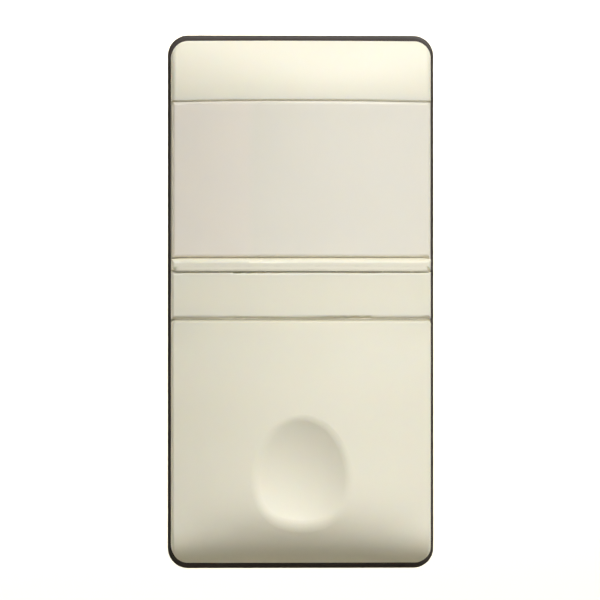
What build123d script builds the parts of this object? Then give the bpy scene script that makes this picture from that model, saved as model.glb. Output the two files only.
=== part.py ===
from build123d import *
import os
from math import radians, sin, sqrt

os.makedirs("parts", exist_ok=True)

# The origin is the centre of the shoulder plane, where the back of the dark rim meets the
# mounting frame. The front faces -Y and +Z is up. A depth counts forward from the shoulder
# plane, so it lies at y = -depth, and a reach counts backward from it, at y = +reach.

# Rim and box of the dark body
rim_width = 25.0
rim_height = 50.1
rim_thick = 1.6
rim_corner = 1.9
rim_round = 0.3
side_shoulder = 0.8
end_shoulder = 3.15
box_length = 34.5
box_wall = 1.2
box_corner = 1.0

# Outline of the ivory front
face_side_inset = 0.3
face_end_inset = 0.6
face_corner = 1.65
face_draft = 3.0
least_corner = 0.3
seam = 0.15
edge_round = 0.3
run_past = 0.3
overrun = 0.5

# The cap's height, and the seams below it, counted from the middle
cap_height = 5.8
bead_top_z = 4.05
bead_bottom_z = 2.85
key_seam_z = -1.6

# Rises of the crowned faces above the rim, at the middle and at the sides
cap_rise = 5.4
cap_side_rise = 3.2
cap_drop = 2.7
cap_side_drop = 1.5
lens_rise = 5.6
lens_side_rise = 3.3
bead_rise = 6.0
bead_side_rise = 3.8
cover_rise = 5.85
cover_side_rise = 3.65
key_rise = 6.4
key_side_rise = 4.0
key_lean = 0.35
chin_height = 6.25
chin_drop = 5.1
chin_side_height = 3.25
chin_side_drop = 2.75
least_arch = 0.1

# Front bezel
ring_thick = 0.7
ring_bar = 1.9
cap_wall = 1.4
cap_ledge = 1.0
cap_round = 0.6
bead_round = 0.4
bead_back_rise = 2.8
rail_thick = 0.9
rail_rise = 2.5
lip_thick = 0.45
lip_rise = 2.1
lip_end = 3.45
latch_web = 0.7
latch_thick = 0.7
latch_gap = 0.1
latch_reach = 4.6
hook_start = 3.2
hook_height = 0.6

# Lens
lens_inset = 0.1
lens_wall = 0.7
lens_relief_rise = 2.7
lenslet_pitch_x = 7.2
lenslet_pitch_z = 6.4
groove_depth = 0.25
groove_width = 0.35
groove_radii = (1.2, 2.1, 3.0)

# Adjuster cover
cover_wall = 1.2
cover_ledge = 0.9
cover_relief_rise = 3.4
seat_gap = 0.05
side_gap = 0.15
peg_radius = 0.8
peg_edge = 0.1
peg_reach = 0.9
peg_top_rise = 3.9
pin_clear = 0.05

# Override key
key_wall = 1.2
key_round = 0.3
key_corner = 0.4
press_angle = 2.0
stop_gap = 0.12
pivot_drop = 1.8
pivot_rise = 2.0
pin_radius = 0.7
relief_rise = 3.6
dimple_foot = 8.15
dimple_width = 8.7
dimple_height = 11.8
dimple_depth = 1.1
dimple_round = 1.6
boss_radius = 4.6
button_foot = 10.45
button_radius = 1.7
button_length = 0.75
button_gap = 0.1
spring_x = 6.4
rib_width = 1.2
rib_foot = 6.05

# Sensor carrier
plate_thick = 1.2
plate_gap = 0.1
plate_corner = 1.0
ear_thick = 1.2
ear_gap = 0.8
ear_wall = 0.55
ear_half = 1.25
funnel_side = 3.1
funnel_end_gap = 1.25
funnel_lamp_gap = 0.25
funnel_wall = 0.8
funnel_corner = 1.2
lamp_foot = 0.8
lamp_side = 4.5
lamp_hole = 1.6
post_radius = 0.9
post_edge = 0.9
post_top_edge = 1.4
stake_radius = 0.5
stake_length = 0.5
notch_gap = 0.25
fixing_radius = 0.75
fixing_head = 1.3
fixing_head_height = 0.9
fixing_length = 5.0
fixing_boss = 1.3
fixing_boss_length = 5.5

# Sensor board and what stands on it
board_thick = 1.2
sensor_board_reach = 7.2
sensor_board_side = 0.4
sensor_board_end = 2.9
can_radius = 4.15
can_flange = 4.6
can_flange_thick = 0.6
can_height = 4.2
can_lap = 0.6
can_round = 0.4
window_width = 4.6
window_height = 3.6
window_thick = 0.4
window_recess = 0.3
lamp_radius = 1.5
lamp_flange = 1.9
lamp_flange_thick = 1.0
lamp_nose = 0.9
lead_width = 0.5
lead_spread = 2.54
trimmer_side = 1.3
trimmer_size = 6.0
trimmer_height = 3.0
trimmer_bore = 0.8
trimmer_bore_depth = 2.0
rotor_disc = 2.4
rotor_disc_thick = 0.7
rotor_shaft = 1.7
rotor_rise = 3.1
rotor_slot = 0.8
rotor_slot_depth = 0.9
rotor_hole_gap = 0.2
switch_size = 6.0
switch_height = 3.5
switch_well = 1.0
plunger_radius = 1.7
plunger_foot = 0.4
chip_width = 9.0
chip_height = 6.0
chip_thick = 1.5
chip_z = 4.0
link_edge = 1.4
link_pitch = 2.54
link_count = 6
link_bar = 2.5
link_pin = 0.64
link_hole = 0.74
link_header_thick = 2.4
link_socket_gap = 1.7
link_socket_floor = 1.0

# Power board and what stands on it
power_board_gap = 0.2
shelf_width = 0.8
shelf_length = 4.0
shelf_thick = 1.2
shelf_end = 7.7
part_gap = 0.3
relay_side = 1.1
relay_end = 5.0
relay_width = 9.0
relay_headroom = 2.2
relay_round = 0.5
film_gap = 1.5
film_side = 1.4
film_end = 4.75
film_foot_gap = 2.25
film_headroom = 2.4
film_round = 0.8
smoothing_gap = 2.8
smoothing_side = 1.3
smoothing_headroom = 2.2
smoothing_crimp = 0.35
varistor_side = 1.2
varistor_headroom = 2.6
varistor_thick = 3.4
varistor_stand = 1.0
fuse_width = 4.0
fuse_height = 8.2
fuse_headroom = 5.0
resistor_radius = 1.4
resistor_length = 9.5
resistor_stand = 0.5
resistor_neck = 0.25
wire_radius = 0.3
wire_turn = 1.5

# Terminals
block_length = 9.7
wire_end = 9.2
wire_radius_in = 1.6
wire_funnel = 2.3
cover_thick = 2.4
cover_gap = 0.1
clip_z = 8.0
clip_length = 4.0
clip_height = 0.5
clip_thick = 1.0
block_gap = 0.1
block_foot_wall = 0.9
cage_width = 5.8
cage_length = 4.8
cage_wall = 0.8
cage_window = 4.4
cage_rise = 2.8
cage_gap = 0.2
bar_width = 4.0
bar_thick = 1.0
bar_leg_width = 2.0
bar_leg_gap = 0.1
shoulder_thick = 0.8
shoulder_gap = 0.15
screw_radius = 1.5
screw_head = 2.2
screw_head_height = 1.4
screw_slot = 0.6
screw_slot_depth = 0.7
head_gap = 0.2
screw_clear = 0.06
driver_hole = 2.0

# Snap teeth and windows of the box
frame_thick = 1.5
tooth_gap = 0.1
tooth_width = 4.4
tooth_length = 2.6
tooth_height = 1.0
tongue_width = 4.6
tongue_length = 10.5
tongue_slit = 0.5
window_gap = 0.2
vent_width = 1.2
vent_length = 8.0
vent_pitch = 2.8
vent_count = 4
vent_reach = 14.5

# Leaf springs of the key
leaf_thick = 0.2
leaf_width = 2.4
leaf_foot = 3.0
leaf_drop = 4.1

# Sizes that follow from the ones above
box_width = rim_width - 2 * side_shoulder
box_height = rim_height - 2 * end_shoulder
face_width = rim_width - 2 * face_side_inset
face_height = rim_height - 2 * face_end_inset
half_face = face_width / 2
face_top = face_height / 2
face_bottom = -face_height / 2
cap_seam_z = face_top - cap_height
pivot_z = key_seam_z - pivot_drop
chin_start_z = face_bottom + chin_height
chin_side_start_z = face_bottom + chin_side_height
dimple_z = face_bottom + dimple_foot
button_z = face_bottom + button_foot
rib_z = face_bottom + rib_foot
leaf_top_z = pivot_z - leaf_drop
lip_bottom_z = face_bottom + lip_end
ring_front = rim_thick + ring_thick
ring_half = half_face - ring_bar
ring_half_height = face_top - ring_bar + plate_gap
deepest = rim_thick + 2 * key_rise
plate_front = rim_thick + plate_thick
plate_width = 2 * (ring_half - plate_gap)
plate_height = 2 * (ring_half_height - plate_gap)
inner_half = box_width / 2 - box_wall
inner_half_height = box_height / 2 - box_wall
lens_low = bead_top_z + seam / 2
lens_high = cap_seam_z - seam / 2
lens_centre_z = (cap_seam_z + bead_top_z) / 2
lamp_z = bead_top_z + lamp_foot
funnel_foot_z = lamp_z + lamp_flange + funnel_lamp_gap + funnel_wall
funnel_head_z = cap_seam_z - funnel_end_gap
funnel_half_height = (funnel_head_z - funnel_foot_z) / 2
funnel_half_width = ring_half - funnel_side
can_z = (funnel_head_z + funnel_foot_z) / 2
cover_centre_z = (bead_bottom_z + key_seam_z) / 2
fixing_x = plate_width / 2 - fixing_head
fixing_z = inner_half_height - fixing_boss
latch_low_x = tongue_width / 2 + tongue_slit + latch_web
latch_high_x = fixing_x - fixing_boss - latch_gap
latch_width = latch_high_x - latch_low_x
latch_x = (latch_high_x + latch_low_x) / 2
peg_x = plate_width / 2 - peg_radius - peg_edge
trimmer_x = peg_x - peg_radius - trimmer_side - rotor_shaft
sensor_board_width = 2 * (inner_half - sensor_board_side)
sensor_board_height = 2 * (inner_half_height - sensor_board_end)
post_x = sensor_board_width / 2 - post_edge
lamp_x = sensor_board_width / 2 - lamp_side
post_top_z = sensor_board_height / 2 - post_top_edge
link_z = link_edge - sensor_board_height / 2
post_bottom_z = link_z + link_bar / 2 + post_radius + seat_gap
pivot_depth = rim_thick + pivot_rise
press_travel = (pivot_z - face_bottom) * sin(radians(press_angle))
key_back = ring_front + press_travel + stop_gap
sensor_board_back = sensor_board_reach + board_thick
cover_front_reach = box_length - cover_thick
block_back_reach = cover_front_reach - block_gap
block_front_reach = block_back_reach - block_length
power_board_back = block_front_reach - block_gap
power_board_reach = power_board_back - board_thick
power_board_half_width = inner_half - power_board_gap
power_board_half_height = inner_half_height - power_board_gap
headroom = power_board_reach - sensor_board_back
shelf_z = inner_half_height - shelf_end
terminal_x = power_board_half_width / 2
wire_z = inner_half_height - wire_end
cage_back_reach = block_back_reach - cage_gap
cage_mid_reach = cage_back_reach - cage_length / 2
bar_bottom_z = wire_z + wire_radius_in
bar_top_z = bar_bottom_z + bar_thick
cage_top_in_z = bar_top_z + cage_gap
cage_top_z = cage_top_in_z + cage_wall
cage_bottom_z = cage_top_in_z - cage_window - cage_wall
chamber_top_z = cage_top_z + cage_rise + shoulder_gap
head_seat_z = chamber_top_z + shoulder_thick
block_top_z = inner_half_height - side_gap
block_foot_z = cage_bottom_z - cage_gap - block_foot_wall
plunger_tip = rim_thick + key_rise - dimple_depth - key_wall - button_length - button_gap


def facing(depth):
    """The plane that looks forward from this depth in front of the shoulder."""
    return Plane.XZ.offset(depth)


def rolled(past, length, full, drop, wall=0):
    """Depth of a face that leaves its full depth on an arc and has dropped by drop after length."""
    radius = (length**2 + drop**2) / (2 * drop)
    return full - radius + sqrt((radius - wall) ** 2 - max(past, 0) ** 2)


def crowned(levels, back, inset=0):
    """A block with an arched face, trimmed to the drafted outline of the front.

    Each level is a height with the face's depth at the middle and at the sides. The block
    ends flat at the depth called back."""
    sections = []
    for height, middle, side in levels:
        rise = max(middle - side, least_arch)
        arch = (half_face**2 + rise**2) / (2 * rise)
        reach = half_face + run_past
        end = middle - arch + sqrt(arch**2 - reach**2)
        with BuildSketch(Plane.XY.offset(height)) as section:
            with BuildLine():
                ThreePointArc((-reach, -end), (0, -middle), (reach, -end))
                Polyline((reach, -end), (reach, 0), (-reach, 0), (-reach, -end))
            make_face()
        sections.append(section.sketch)
    corner = max(face_corner - inset, least_corner)
    with BuildPart() as block:
        loft(sections)
        with BuildSketch(facing(rim_thick)):
            RectangleRounded(face_width - 2 * inset, face_height - 2 * inset, corner)
        extrude(amount=deepest, taper=face_draft, mode=Mode.INTERSECT)
        if back > rim_thick:
            with BuildSketch(facing(0)):
                Rectangle(2 * face_width, 2 * face_height)
            extrude(amount=back, mode=Mode.SUBTRACT)
    return block.part


def level_block(low, high, rise, side_rise, back, wall=0, inset=0):
    """A crowned block whose face has the same arch from its low to its high end."""
    middle = rim_thick + rise - wall
    side = rim_thick + side_rise - wall
    return crowned([(low, middle, side), (high, middle, side)], back, inset)


# Front bezel: the cap's face rolls back towards the top edge
cap_bottom = cap_seam_z + seam / 2
cap_length = face_top + run_past - cap_bottom
cap_shares = (0, 0.25, 0.5, 0.7, 0.85, 1)


def cap_levels(low, high, wall):
    levels = []
    for share in cap_shares:
        height = low + (high - low) * share
        past = height - cap_bottom
        middle = rolled(past, cap_length, rim_thick + cap_rise, cap_drop, wall)
        side = rolled(past, cap_length, rim_thick + cap_side_rise, cap_side_drop, wall)
        levels.append((height, middle, side))
    return levels


cap_form = crowned(cap_levels(cap_bottom, face_top + run_past, 0), rim_thick)
cap_cavity = crowned(
    cap_levels(cap_bottom + cap_ledge, face_top + run_past - cap_wall, cap_wall),
    ring_front,
    cap_wall,
)

with BuildPart() as cap:
    add(cap_form)
    cap_face = faces().sort_by(Axis.Y)[0]
    seam_edge = cap_face.edges().sort_by(Axis.Z)[0]
    fillet([edge for edge in cap_face.edges() if edge != seam_edge], cap_round)

with BuildPart() as bead:
    bead_low = bead_bottom_z + seam / 2
    bead_high = bead_top_z - seam / 2
    add(level_block(bead_low, bead_high, bead_rise, bead_side_rise, rim_thick))
    fillet(faces().sort_by(Axis.Y)[0].edges(), bead_round)

with BuildPart() as front_bezel:
    with BuildSketch(facing(rim_thick)):
        RectangleRounded(face_width, face_height, face_corner)
    extrude(amount=ring_thick, taper=face_draft)
    add(cap.part)
    add(cap_cavity, mode=Mode.SUBTRACT)
    add(bead.part)
    with BuildSketch(facing(ring_front)):
        with Locations((0, (bead_low + bead_high) / 2)):
            Rectangle(2 * ring_half, bead_high - bead_low + 2 * overrun)
        with Locations((0, cap_bottom)):
            Rectangle(2 * ring_half, 2 * cap_ledge + overrun)
    extrude(amount=bead_back_rise - ring_thick, mode=Mode.SUBTRACT)
    with BuildSketch(facing(rim_thick - overrun)):
        RectangleRounded(2 * ring_half, 2 * ring_half_height, plate_corner)
    extrude(amount=ring_thick + overrun, mode=Mode.SUBTRACT)
    with BuildSketch(facing(rim_thick)):
        with Locations((0, (bead_low + cap_bottom + cap_ledge) / 2)):
            with GridLocations(2 * ring_half + rail_thick, 0, 2, 1):
                Rectangle(rail_thick, cap_bottom + cap_ledge - bead_low)
    extrude(amount=rail_rise)
    with BuildSketch(facing(rim_thick)):
        with Locations((0, (bead_low + lip_bottom_z) / 2)):
            with GridLocations(2 * ring_half + lip_thick, 0, 2, 1):
                Rectangle(lip_thick, bead_low - lip_bottom_z)
    extrude(amount=lip_rise)
    with BuildSketch(facing(ring_front)):
        with Locations((0, pivot_z)):
            Rectangle(face_width, 2 * (pin_radius + side_gap))
    extrude(amount=lip_rise, mode=Mode.SUBTRACT)
    with BuildSketch(Plane.YZ.offset(latch_x)):
        arm_outer = inner_half_height - latch_gap
        arm_inner = arm_outer - latch_thick
        tab_end = ring_half_height + ring_bar / 2
        with BuildLine():
            Polyline(
                (-ring_front, tab_end),
                (-ring_front, arm_inner),
                (latch_reach, arm_inner),
                (latch_reach, arm_outer),
                (hook_start + hook_height / 2, arm_outer + hook_height),
                (hook_start, arm_outer + hook_height),
                (hook_start, arm_outer),
                (-rim_thick, arm_outer),
                (-rim_thick, tab_end),
                close=True,
            )
        make_face()
    latch = extrude(amount=latch_width / 2, both=True)
    mirror(latch, about=Plane.YZ)
    latch_pair = [latch, mirror(latch, about=Plane.YZ, mode=Mode.PRIVATE)]
    mirror(latch_pair, about=Plane.XY)
front_bezel.part.label = "front_bezel"
export_step(front_bezel.part, "parts/front_bezel.step")

# Lens: a thin milky shell, with ringed lenslets moulded into its inner face
lens_cavity = level_block(
    lens_low + lens_wall,
    lens_high - lens_wall,
    lens_rise,
    lens_side_rise,
    ring_front,
    lens_wall,
    lens_inset + lens_wall,
)
groove_limit = level_block(
    lens_low + lens_wall,
    lens_high - lens_wall,
    lens_rise,
    lens_side_rise,
    ring_front,
    lens_wall - groove_depth,
    lens_inset + lens_wall,
)

with BuildPart() as grooves:
    add(groove_limit)
    with BuildSketch(facing(rim_thick)):
        with Locations((0, lens_centre_z)):
            with GridLocations(lenslet_pitch_x, lenslet_pitch_z, 3, 2):
                for radius in groove_radii:
                    Circle(radius + groove_width / 2)
                    Circle(radius - groove_width / 2, mode=Mode.SUBTRACT)
    extrude(amount=deepest, mode=Mode.INTERSECT)

with BuildPart() as fresnel_lens:
    add(
        level_block(
            lens_low,
            lens_high,
            lens_rise,
            lens_side_rise,
            ring_front + seat_gap,
            inset=lens_inset,
        )
    )
    fillet(faces().sort_by(Axis.Y)[0].edges(), edge_round)
    add(lens_cavity, mode=Mode.SUBTRACT)
    add(grooves.part, mode=Mode.SUBTRACT)
    with BuildSketch(facing(ring_front)):
        with Locations((0, lens_centre_z)):
            relief_half = ring_half + rail_thick + latch_gap
            Rectangle(2 * relief_half, lens_high - lens_low + 2 * overrun)
    extrude(amount=lens_relief_rise - ring_thick, mode=Mode.SUBTRACT)
fresnel_lens.part.label = "fresnel_lens"
export_step(fresnel_lens.part, "parts/fresnel_lens.step")

# Adjuster cover: the band under the bead, held by two pegs
cover_low = key_seam_z + seam / 2
cover_high = bead_bottom_z - seam / 2
cover_cavity = level_block(
    cover_low + cover_ledge,
    cover_high - cover_ledge,
    cover_rise,
    cover_side_rise,
    ring_front,
    cover_wall,
    cover_wall,
)

with BuildPart() as adjuster_cover:
    add(
        level_block(
            cover_low,
            cover_high,
            cover_rise,
            cover_side_rise,
            ring_front + seat_gap,
        )
    )
    fillet(faces().sort_by(Axis.Y)[0].edges(), edge_round)
    add(cover_cavity, mode=Mode.SUBTRACT)
    with BuildSketch(facing(ring_front)):
        with Locations((0, cover_centre_z)):
            skirt_half = ring_half + lip_thick + side_gap
            Rectangle(2 * skirt_half, cover_high - cover_low + 2 * overrun)
    extrude(amount=cover_relief_rise - ring_thick, mode=Mode.SUBTRACT)
    with BuildSketch(facing(-peg_reach)):
        with Locations((0, cover_centre_z)):
            with GridLocations(2 * peg_x, 0, 2, 1):
                Circle(peg_radius)
    extrude(amount=peg_reach + rim_thick + peg_top_rise)
adjuster_cover.part.label = "adjuster_cover"
export_step(adjuster_cover.part, "parts/adjuster_cover.step")

# Override key: a crowned shell with a thumb dimple and a chin that rolls back
key_top = key_seam_z - seam / 2
key_depth = rim_thick + key_rise
chin_length = chin_start_z - face_bottom + run_past
chin_side_length = chin_side_start_z - face_bottom + run_past
key_shares = (0, 0.2, 0.4, 0.6, 0.72, 0.79, 0.85, 0.9, 0.94, 0.975, 1)


def key_levels(high, low, wall):
    levels = []
    for share in key_shares:
        height = high + (low - high) * share
        flat = max((height - chin_start_z) / (key_top - chin_start_z), 0)
        full = key_depth - key_lean * flat**2
        side_full = rim_thick + key_side_rise - key_lean * flat**2
        middle = rolled(chin_start_z - height, chin_length, full, chin_drop, wall)
        side = rolled(
            chin_side_start_z - height, chin_side_length, side_full, chin_side_drop, wall
        )
        levels.append((height, middle, side))
    return levels


def upright_edge(edge):
    """True for an edge that runs from the back of the front to its face."""
    size = edge.bounding_box().size
    return size.Y > max(size.X, size.Z)


key_form = crowned(key_levels(key_top, face_bottom - run_past, 0), key_back)
key_cavity = crowned(
    key_levels(key_top - key_wall, face_bottom - run_past + key_wall, key_wall),
    rim_thick,
    key_wall,
)
crown_rise = key_rise - key_side_rise
crown_radius = (half_face**2 + crown_rise**2) / (2 * crown_rise)
dimple_across = 1 / (2 * dimple_depth / (dimple_width / 2) ** 2 - 1 / crown_radius)
dimple_along = (dimple_height / 2) ** 2 / (2 * dimple_depth)

with BuildPart() as dimple:
    with BuildSketch(Plane.YZ):
        bottom_y = -(key_depth - dimple_depth)
        axis_y = bottom_y - dimple_across
        half = dimple_height / 2 + overrun
        end_y = bottom_y - dimple_along + sqrt(dimple_along**2 - half**2)
        with BuildLine():
            ThreePointArc(
                (end_y, dimple_z - half), (bottom_y, dimple_z), (end_y, dimple_z + half)
            )
            Polyline(
                (end_y, dimple_z + half),
                (axis_y, dimple_z + half),
                (axis_y, dimple_z - half),
                (end_y, dimple_z - half),
            )
        make_face()
    revolve(axis=Axis((0, axis_y, 0), (0, 0, 1)))

with BuildPart() as override_key:
    add(key_form)
    top_face = faces().sort_by(Axis.Z)[-1]
    fillet(top_face.edges().filter_by(GeomType.LINE).filter_by(upright_edge), key_corner)
    fillet(faces().sort_by(Axis.Y)[0].edges(), key_round)
    add(key_cavity, mode=Mode.SUBTRACT)
    with BuildSketch(facing(key_back - overrun)):
        with Locations((0, key_top)):
            Rectangle(2 * (ring_half + lip_thick + side_gap), 2 * key_wall + overrun)
    extrude(amount=rim_thick + relief_rise - key_back + overrun, mode=Mode.SUBTRACT)
    boss_front = key_depth - dimple_depth
    with BuildSketch(facing(boss_front - key_wall)):
        with Locations((0, dimple_z)):
            Circle(boss_radius)
    extrude(amount=key_wall)
    with BuildSketch(facing(plunger_tip + button_gap)):
        with Locations((0, button_z)):
            Circle(button_radius)
    extrude(amount=button_length + key_wall / 2)
    with BuildSketch(facing(plunger_tip)):
        with Locations((0, rib_z)):
            with GridLocations(2 * spring_x, 0, 2, 1):
                Rectangle(rib_width, rib_width)
    extrude(amount=key_depth - key_wall - plunger_tip)
    add(dimple.part, mode=Mode.SUBTRACT)
    hollow_face = faces().filter_by(GeomType.REVOLUTION).sort_by(Axis.Y)[0]
    fillet(hollow_face.edges(), dimple_round)
    with BuildSketch(Plane.YZ.offset(ring_half - ear_gap - ear_thick)):
        with Locations((-pivot_depth, pivot_z)):
            Circle(pin_radius)
    pin = extrude(amount=half_face - key_wall - ring_half + ear_gap + ear_thick + side_gap)
    mirror(pin, about=Plane.YZ)
override_key.part.label = "override_key"
export_step(override_key.part, "parts/override_key.step")

# Leaf springs: each is fixed flat on the carrier plate and rises to a rib of the key
with BuildPart() as key_springs:
    with BuildSketch(Plane.YZ.offset(spring_x)):
        leaf_tip = plunger_tip - button_gap
        leaf_foot_z = leaf_top_z - leaf_foot
        with BuildLine():
            Polyline(
                (-plate_front, leaf_top_z),
                (-plate_front - leaf_thick, leaf_top_z),
                (-plate_front - leaf_thick, leaf_foot_z),
                (-leaf_tip, rib_z),
                (-leaf_tip + leaf_thick, rib_z - leaf_thick),
                (-plate_front, leaf_foot_z - leaf_thick),
                close=True,
            )
        make_face()
    leaf = extrude(amount=leaf_width / 2, both=True)
    mirror(leaf, about=Plane.YZ)
key_springs.part.label = "key_springs"
export_step(key_springs.part, "parts/key_springs.step")

# Sensor carrier: the black chassis with a light funnel, hinge ears and board posts
funnel_end = can_height + can_lap - sensor_board_reach
post_middle_z = (post_top_z + post_bottom_z) / 2


def funnel(grow, front, rear):
    """A hopper that narrows from the lens window to the sensor can."""
    with BuildPart() as hopper:
        with BuildSketch(facing(front)):
            with Locations((0, can_z)):
                RectangleRounded(
                    2 * (funnel_half_width + grow),
                    2 * (funnel_half_height + grow),
                    funnel_corner + grow,
                )
        with BuildSketch(facing(rear)):
            with Locations((0, can_z)):
                side = can_radius + side_gap + grow
                RectangleRounded(2 * side, 2 * side, side - overrun)
        loft(ruled=True)
    return hopper.part


funnel_shell = funnel(funnel_wall, plate_front, funnel_end)
funnel_space = funnel(0, plate_front, funnel_end)

with BuildPart() as sensor_carrier:
    with BuildSketch(facing(rim_thick)):
        RectangleRounded(plate_width, plate_height, plate_corner)
        with GridLocations(2 * latch_x, 2 * ring_half_height, 2, 2):
            notch_depth = ring_half_height - arm_inner + notch_gap
            Rectangle(
                latch_width + 2 * notch_gap, 2 * notch_depth, mode=Mode.SUBTRACT
            )
    extrude(amount=plate_thick)
    add(funnel_shell)
    add(funnel_space, mode=Mode.SUBTRACT)
    with BuildSketch(facing(rim_thick)):
        with Locations((0, post_middle_z)):
            with GridLocations(2 * post_x, post_top_z - post_bottom_z, 2, 2):
                Circle(post_radius)
    extrude(amount=-rim_thick - sensor_board_reach)
    with BuildSketch(facing(-sensor_board_reach)):
        with Locations((0, post_middle_z)):
            with GridLocations(2 * post_x, post_top_z - post_bottom_z, 2, 2):
                Circle(stake_radius)
    extrude(amount=-board_thick - stake_length)
    with BuildSketch(facing(rim_thick - overrun)):
        with Locations((0, lamp_z)):
            with GridLocations(2 * lamp_x, 0, 2, 1):
                Circle(lamp_hole)
        with Locations((0, cover_centre_z)):
            with GridLocations(2 * trimmer_x, 0, 2, 1):
                Circle(rotor_shaft + rotor_hole_gap)
            with GridLocations(2 * peg_x, 0, 2, 1):
                Circle(peg_radius + pin_clear)
        with Locations((0, button_z)):
            Circle(plunger_radius + rotor_hole_gap)
        with GridLocations(2 * fixing_x, 2 * fixing_z, 2, 2):
            Circle(fixing_radius + side_gap)
    extrude(amount=plate_thick + 2 * overrun, mode=Mode.SUBTRACT)
    with BuildSketch(Plane.YZ.offset(ring_half - ear_gap)):
        ear_tip = pivot_depth + pin_radius + pin_clear + ear_wall
        with BuildLine():
            Polyline(
                (-ear_tip + ear_half, pivot_z + ear_half),
                (-rim_thick - plate_thick / 2, pivot_z + ear_half),
                (-rim_thick - plate_thick / 2, pivot_z - ear_half),
                (-ear_tip + ear_half, pivot_z - ear_half),
            )
            ThreePointArc(
                (-ear_tip + ear_half, pivot_z - ear_half),
                (-ear_tip, pivot_z),
                (-ear_tip + ear_half, pivot_z + ear_half),
            )
        make_face()
        with Locations((-pivot_depth, pivot_z)):
            Circle(pin_radius + pin_clear, mode=Mode.SUBTRACT)
    ear = extrude(amount=-ear_thick)
    mirror(ear, about=Plane.YZ)
sensor_carrier.part.label = "sensor_carrier"
export_step(sensor_carrier.part, "parts/sensor_carrier.step")

# Four pan head screws fix the carrier to the box's bosses
with BuildPart() as carrier_screws:
    with BuildSketch(facing(plate_front)):
        with GridLocations(2 * fixing_x, 2 * fixing_z, 2, 2):
            Circle(fixing_radius)
    extrude(amount=-fixing_length)
    with BuildSketch(facing(plate_front)):
        with GridLocations(2 * fixing_x, 2 * fixing_z, 2, 2):
            Circle(fixing_head)
    extrude(amount=fixing_head_height)
carrier_screws.part.label = "carrier_screws"
export_step(carrier_screws.part, "parts/carrier_screws.step")

# Sensor board, staked on the carrier's posts
with BuildPart() as sensor_board:
    with BuildSketch(facing(-sensor_board_reach)):
        RectangleRounded(sensor_board_width, sensor_board_height, plate_corner)
        with Locations((0, post_middle_z)):
            with GridLocations(2 * post_x, post_top_z - post_bottom_z, 2, 2):
                Circle(stake_radius + pin_clear, mode=Mode.SUBTRACT)
    extrude(amount=-board_thick)
sensor_board.part.label = "sensor_board"
export_step(sensor_board.part, "parts/sensor_board.step")

# Heat sensor: a round steel can with a square window of dark filter glass
with BuildPart() as pir_can:
    with BuildSketch(facing(-sensor_board_reach)):
        with Locations((0, can_z)):
            Circle(can_flange)
    extrude(amount=can_flange_thick)
    with BuildSketch(facing(-sensor_board_reach)):
        with Locations((0, can_z)):
            Circle(can_radius)
    extrude(amount=can_height)
    fillet(edges().group_by(Axis.Y)[0], can_round)
    with BuildSketch(facing(can_height - sensor_board_reach)):
        with Locations((0, can_z)):
            Rectangle(window_width + pin_clear, window_height + pin_clear)
    extrude(amount=-window_recess, mode=Mode.SUBTRACT)
pir_can.part.label = "pir_can"
export_step(pir_can.part, "parts/pir_can.step")

with BuildPart() as pir_window:
    with BuildSketch(facing(can_height - window_recess - sensor_board_reach)):
        with Locations((0, can_z)):
            Rectangle(window_width, window_height)
    extrude(amount=window_thick)
pir_window.part.label = "pir_window"
export_step(pir_window.part, "parts/pir_window.step")


def lamp(x, nose):
    """A round 3 mm part on two long leads: its nose is domed for a lamp, or flat for a cell."""
    with BuildPart() as device:
        with BuildSketch(facing(rim_thick)):
            with Locations((x, lamp_z)):
                Circle(lamp_flange)
        extrude(amount=-lamp_flange_thick)
        with BuildSketch(facing(rim_thick)):
            with Locations((x, lamp_z)):
                Circle(lamp_radius)
        extrude(amount=plate_thick + nose)
        if nose > lamp_radius / 2:
            fillet(edges().group_by(Axis.Y)[0], nose)
        with BuildSketch(facing(rim_thick - lamp_flange_thick)):
            with Locations((x, lamp_z)):
                with GridLocations(lead_spread, 0, 2, 1):
                    Rectangle(lead_width, lead_width)
        extrude(amount=lamp_flange_thick - rim_thick - sensor_board_reach)
    return device.part


status_led = lamp(lamp_x, lamp_nose)
status_led.label = "status_led"
export_step(status_led, "parts/status_led.step")

photocell = lamp(-lamp_x, lamp_nose / 3)
photocell.label = "photocell"
export_step(photocell, "parts/photocell.step")

# Two trimmers with long shafts that a screwdriver reaches through the carrier
rotor_seat = trimmer_height + seat_gap - sensor_board_reach
for name, x in (("time_trimmer", -trimmer_x), ("lux_trimmer", trimmer_x)):
    with BuildPart() as trimmer_body:
        with BuildSketch(facing(-sensor_board_reach)):
            with Locations((x, cover_centre_z)):
                RectangleRounded(trimmer_size, trimmer_size, least_corner)
        extrude(amount=trimmer_height)
        with BuildSketch(facing(trimmer_height - sensor_board_reach)):
            with Locations((x, cover_centre_z)):
                Circle(trimmer_bore + pin_clear)
        extrude(amount=-trimmer_bore_depth, mode=Mode.SUBTRACT)
    trimmer_body.part.label = name + "_body"
    export_step(trimmer_body.part, f"parts/{name}_body.step")

    with BuildPart() as trimmer_rotor:
        with BuildSketch(facing(rotor_seat)):
            with Locations((x, cover_centre_z)):
                Circle(trimmer_bore)
        extrude(amount=side_gap - trimmer_bore_depth)
        with BuildSketch(facing(rotor_seat)):
            with Locations((x, cover_centre_z)):
                Circle(rotor_disc)
        extrude(amount=rotor_disc_thick)
        with BuildSketch(facing(rotor_seat)):
            with Locations((x, cover_centre_z)):
                Circle(rotor_shaft)
        extrude(amount=rim_thick + rotor_rise - rotor_seat)
        with BuildSketch(facing(rim_thick + rotor_rise)):
            with Locations((x, cover_centre_z)):
                Rectangle(rotor_slot, 2 * rotor_shaft + overrun)
        extrude(amount=-rotor_slot_depth, mode=Mode.SUBTRACT)
    trimmer_rotor.part.label = name + "_rotor"
    export_step(trimmer_rotor.part, f"parts/{name}_rotor.step")

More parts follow.
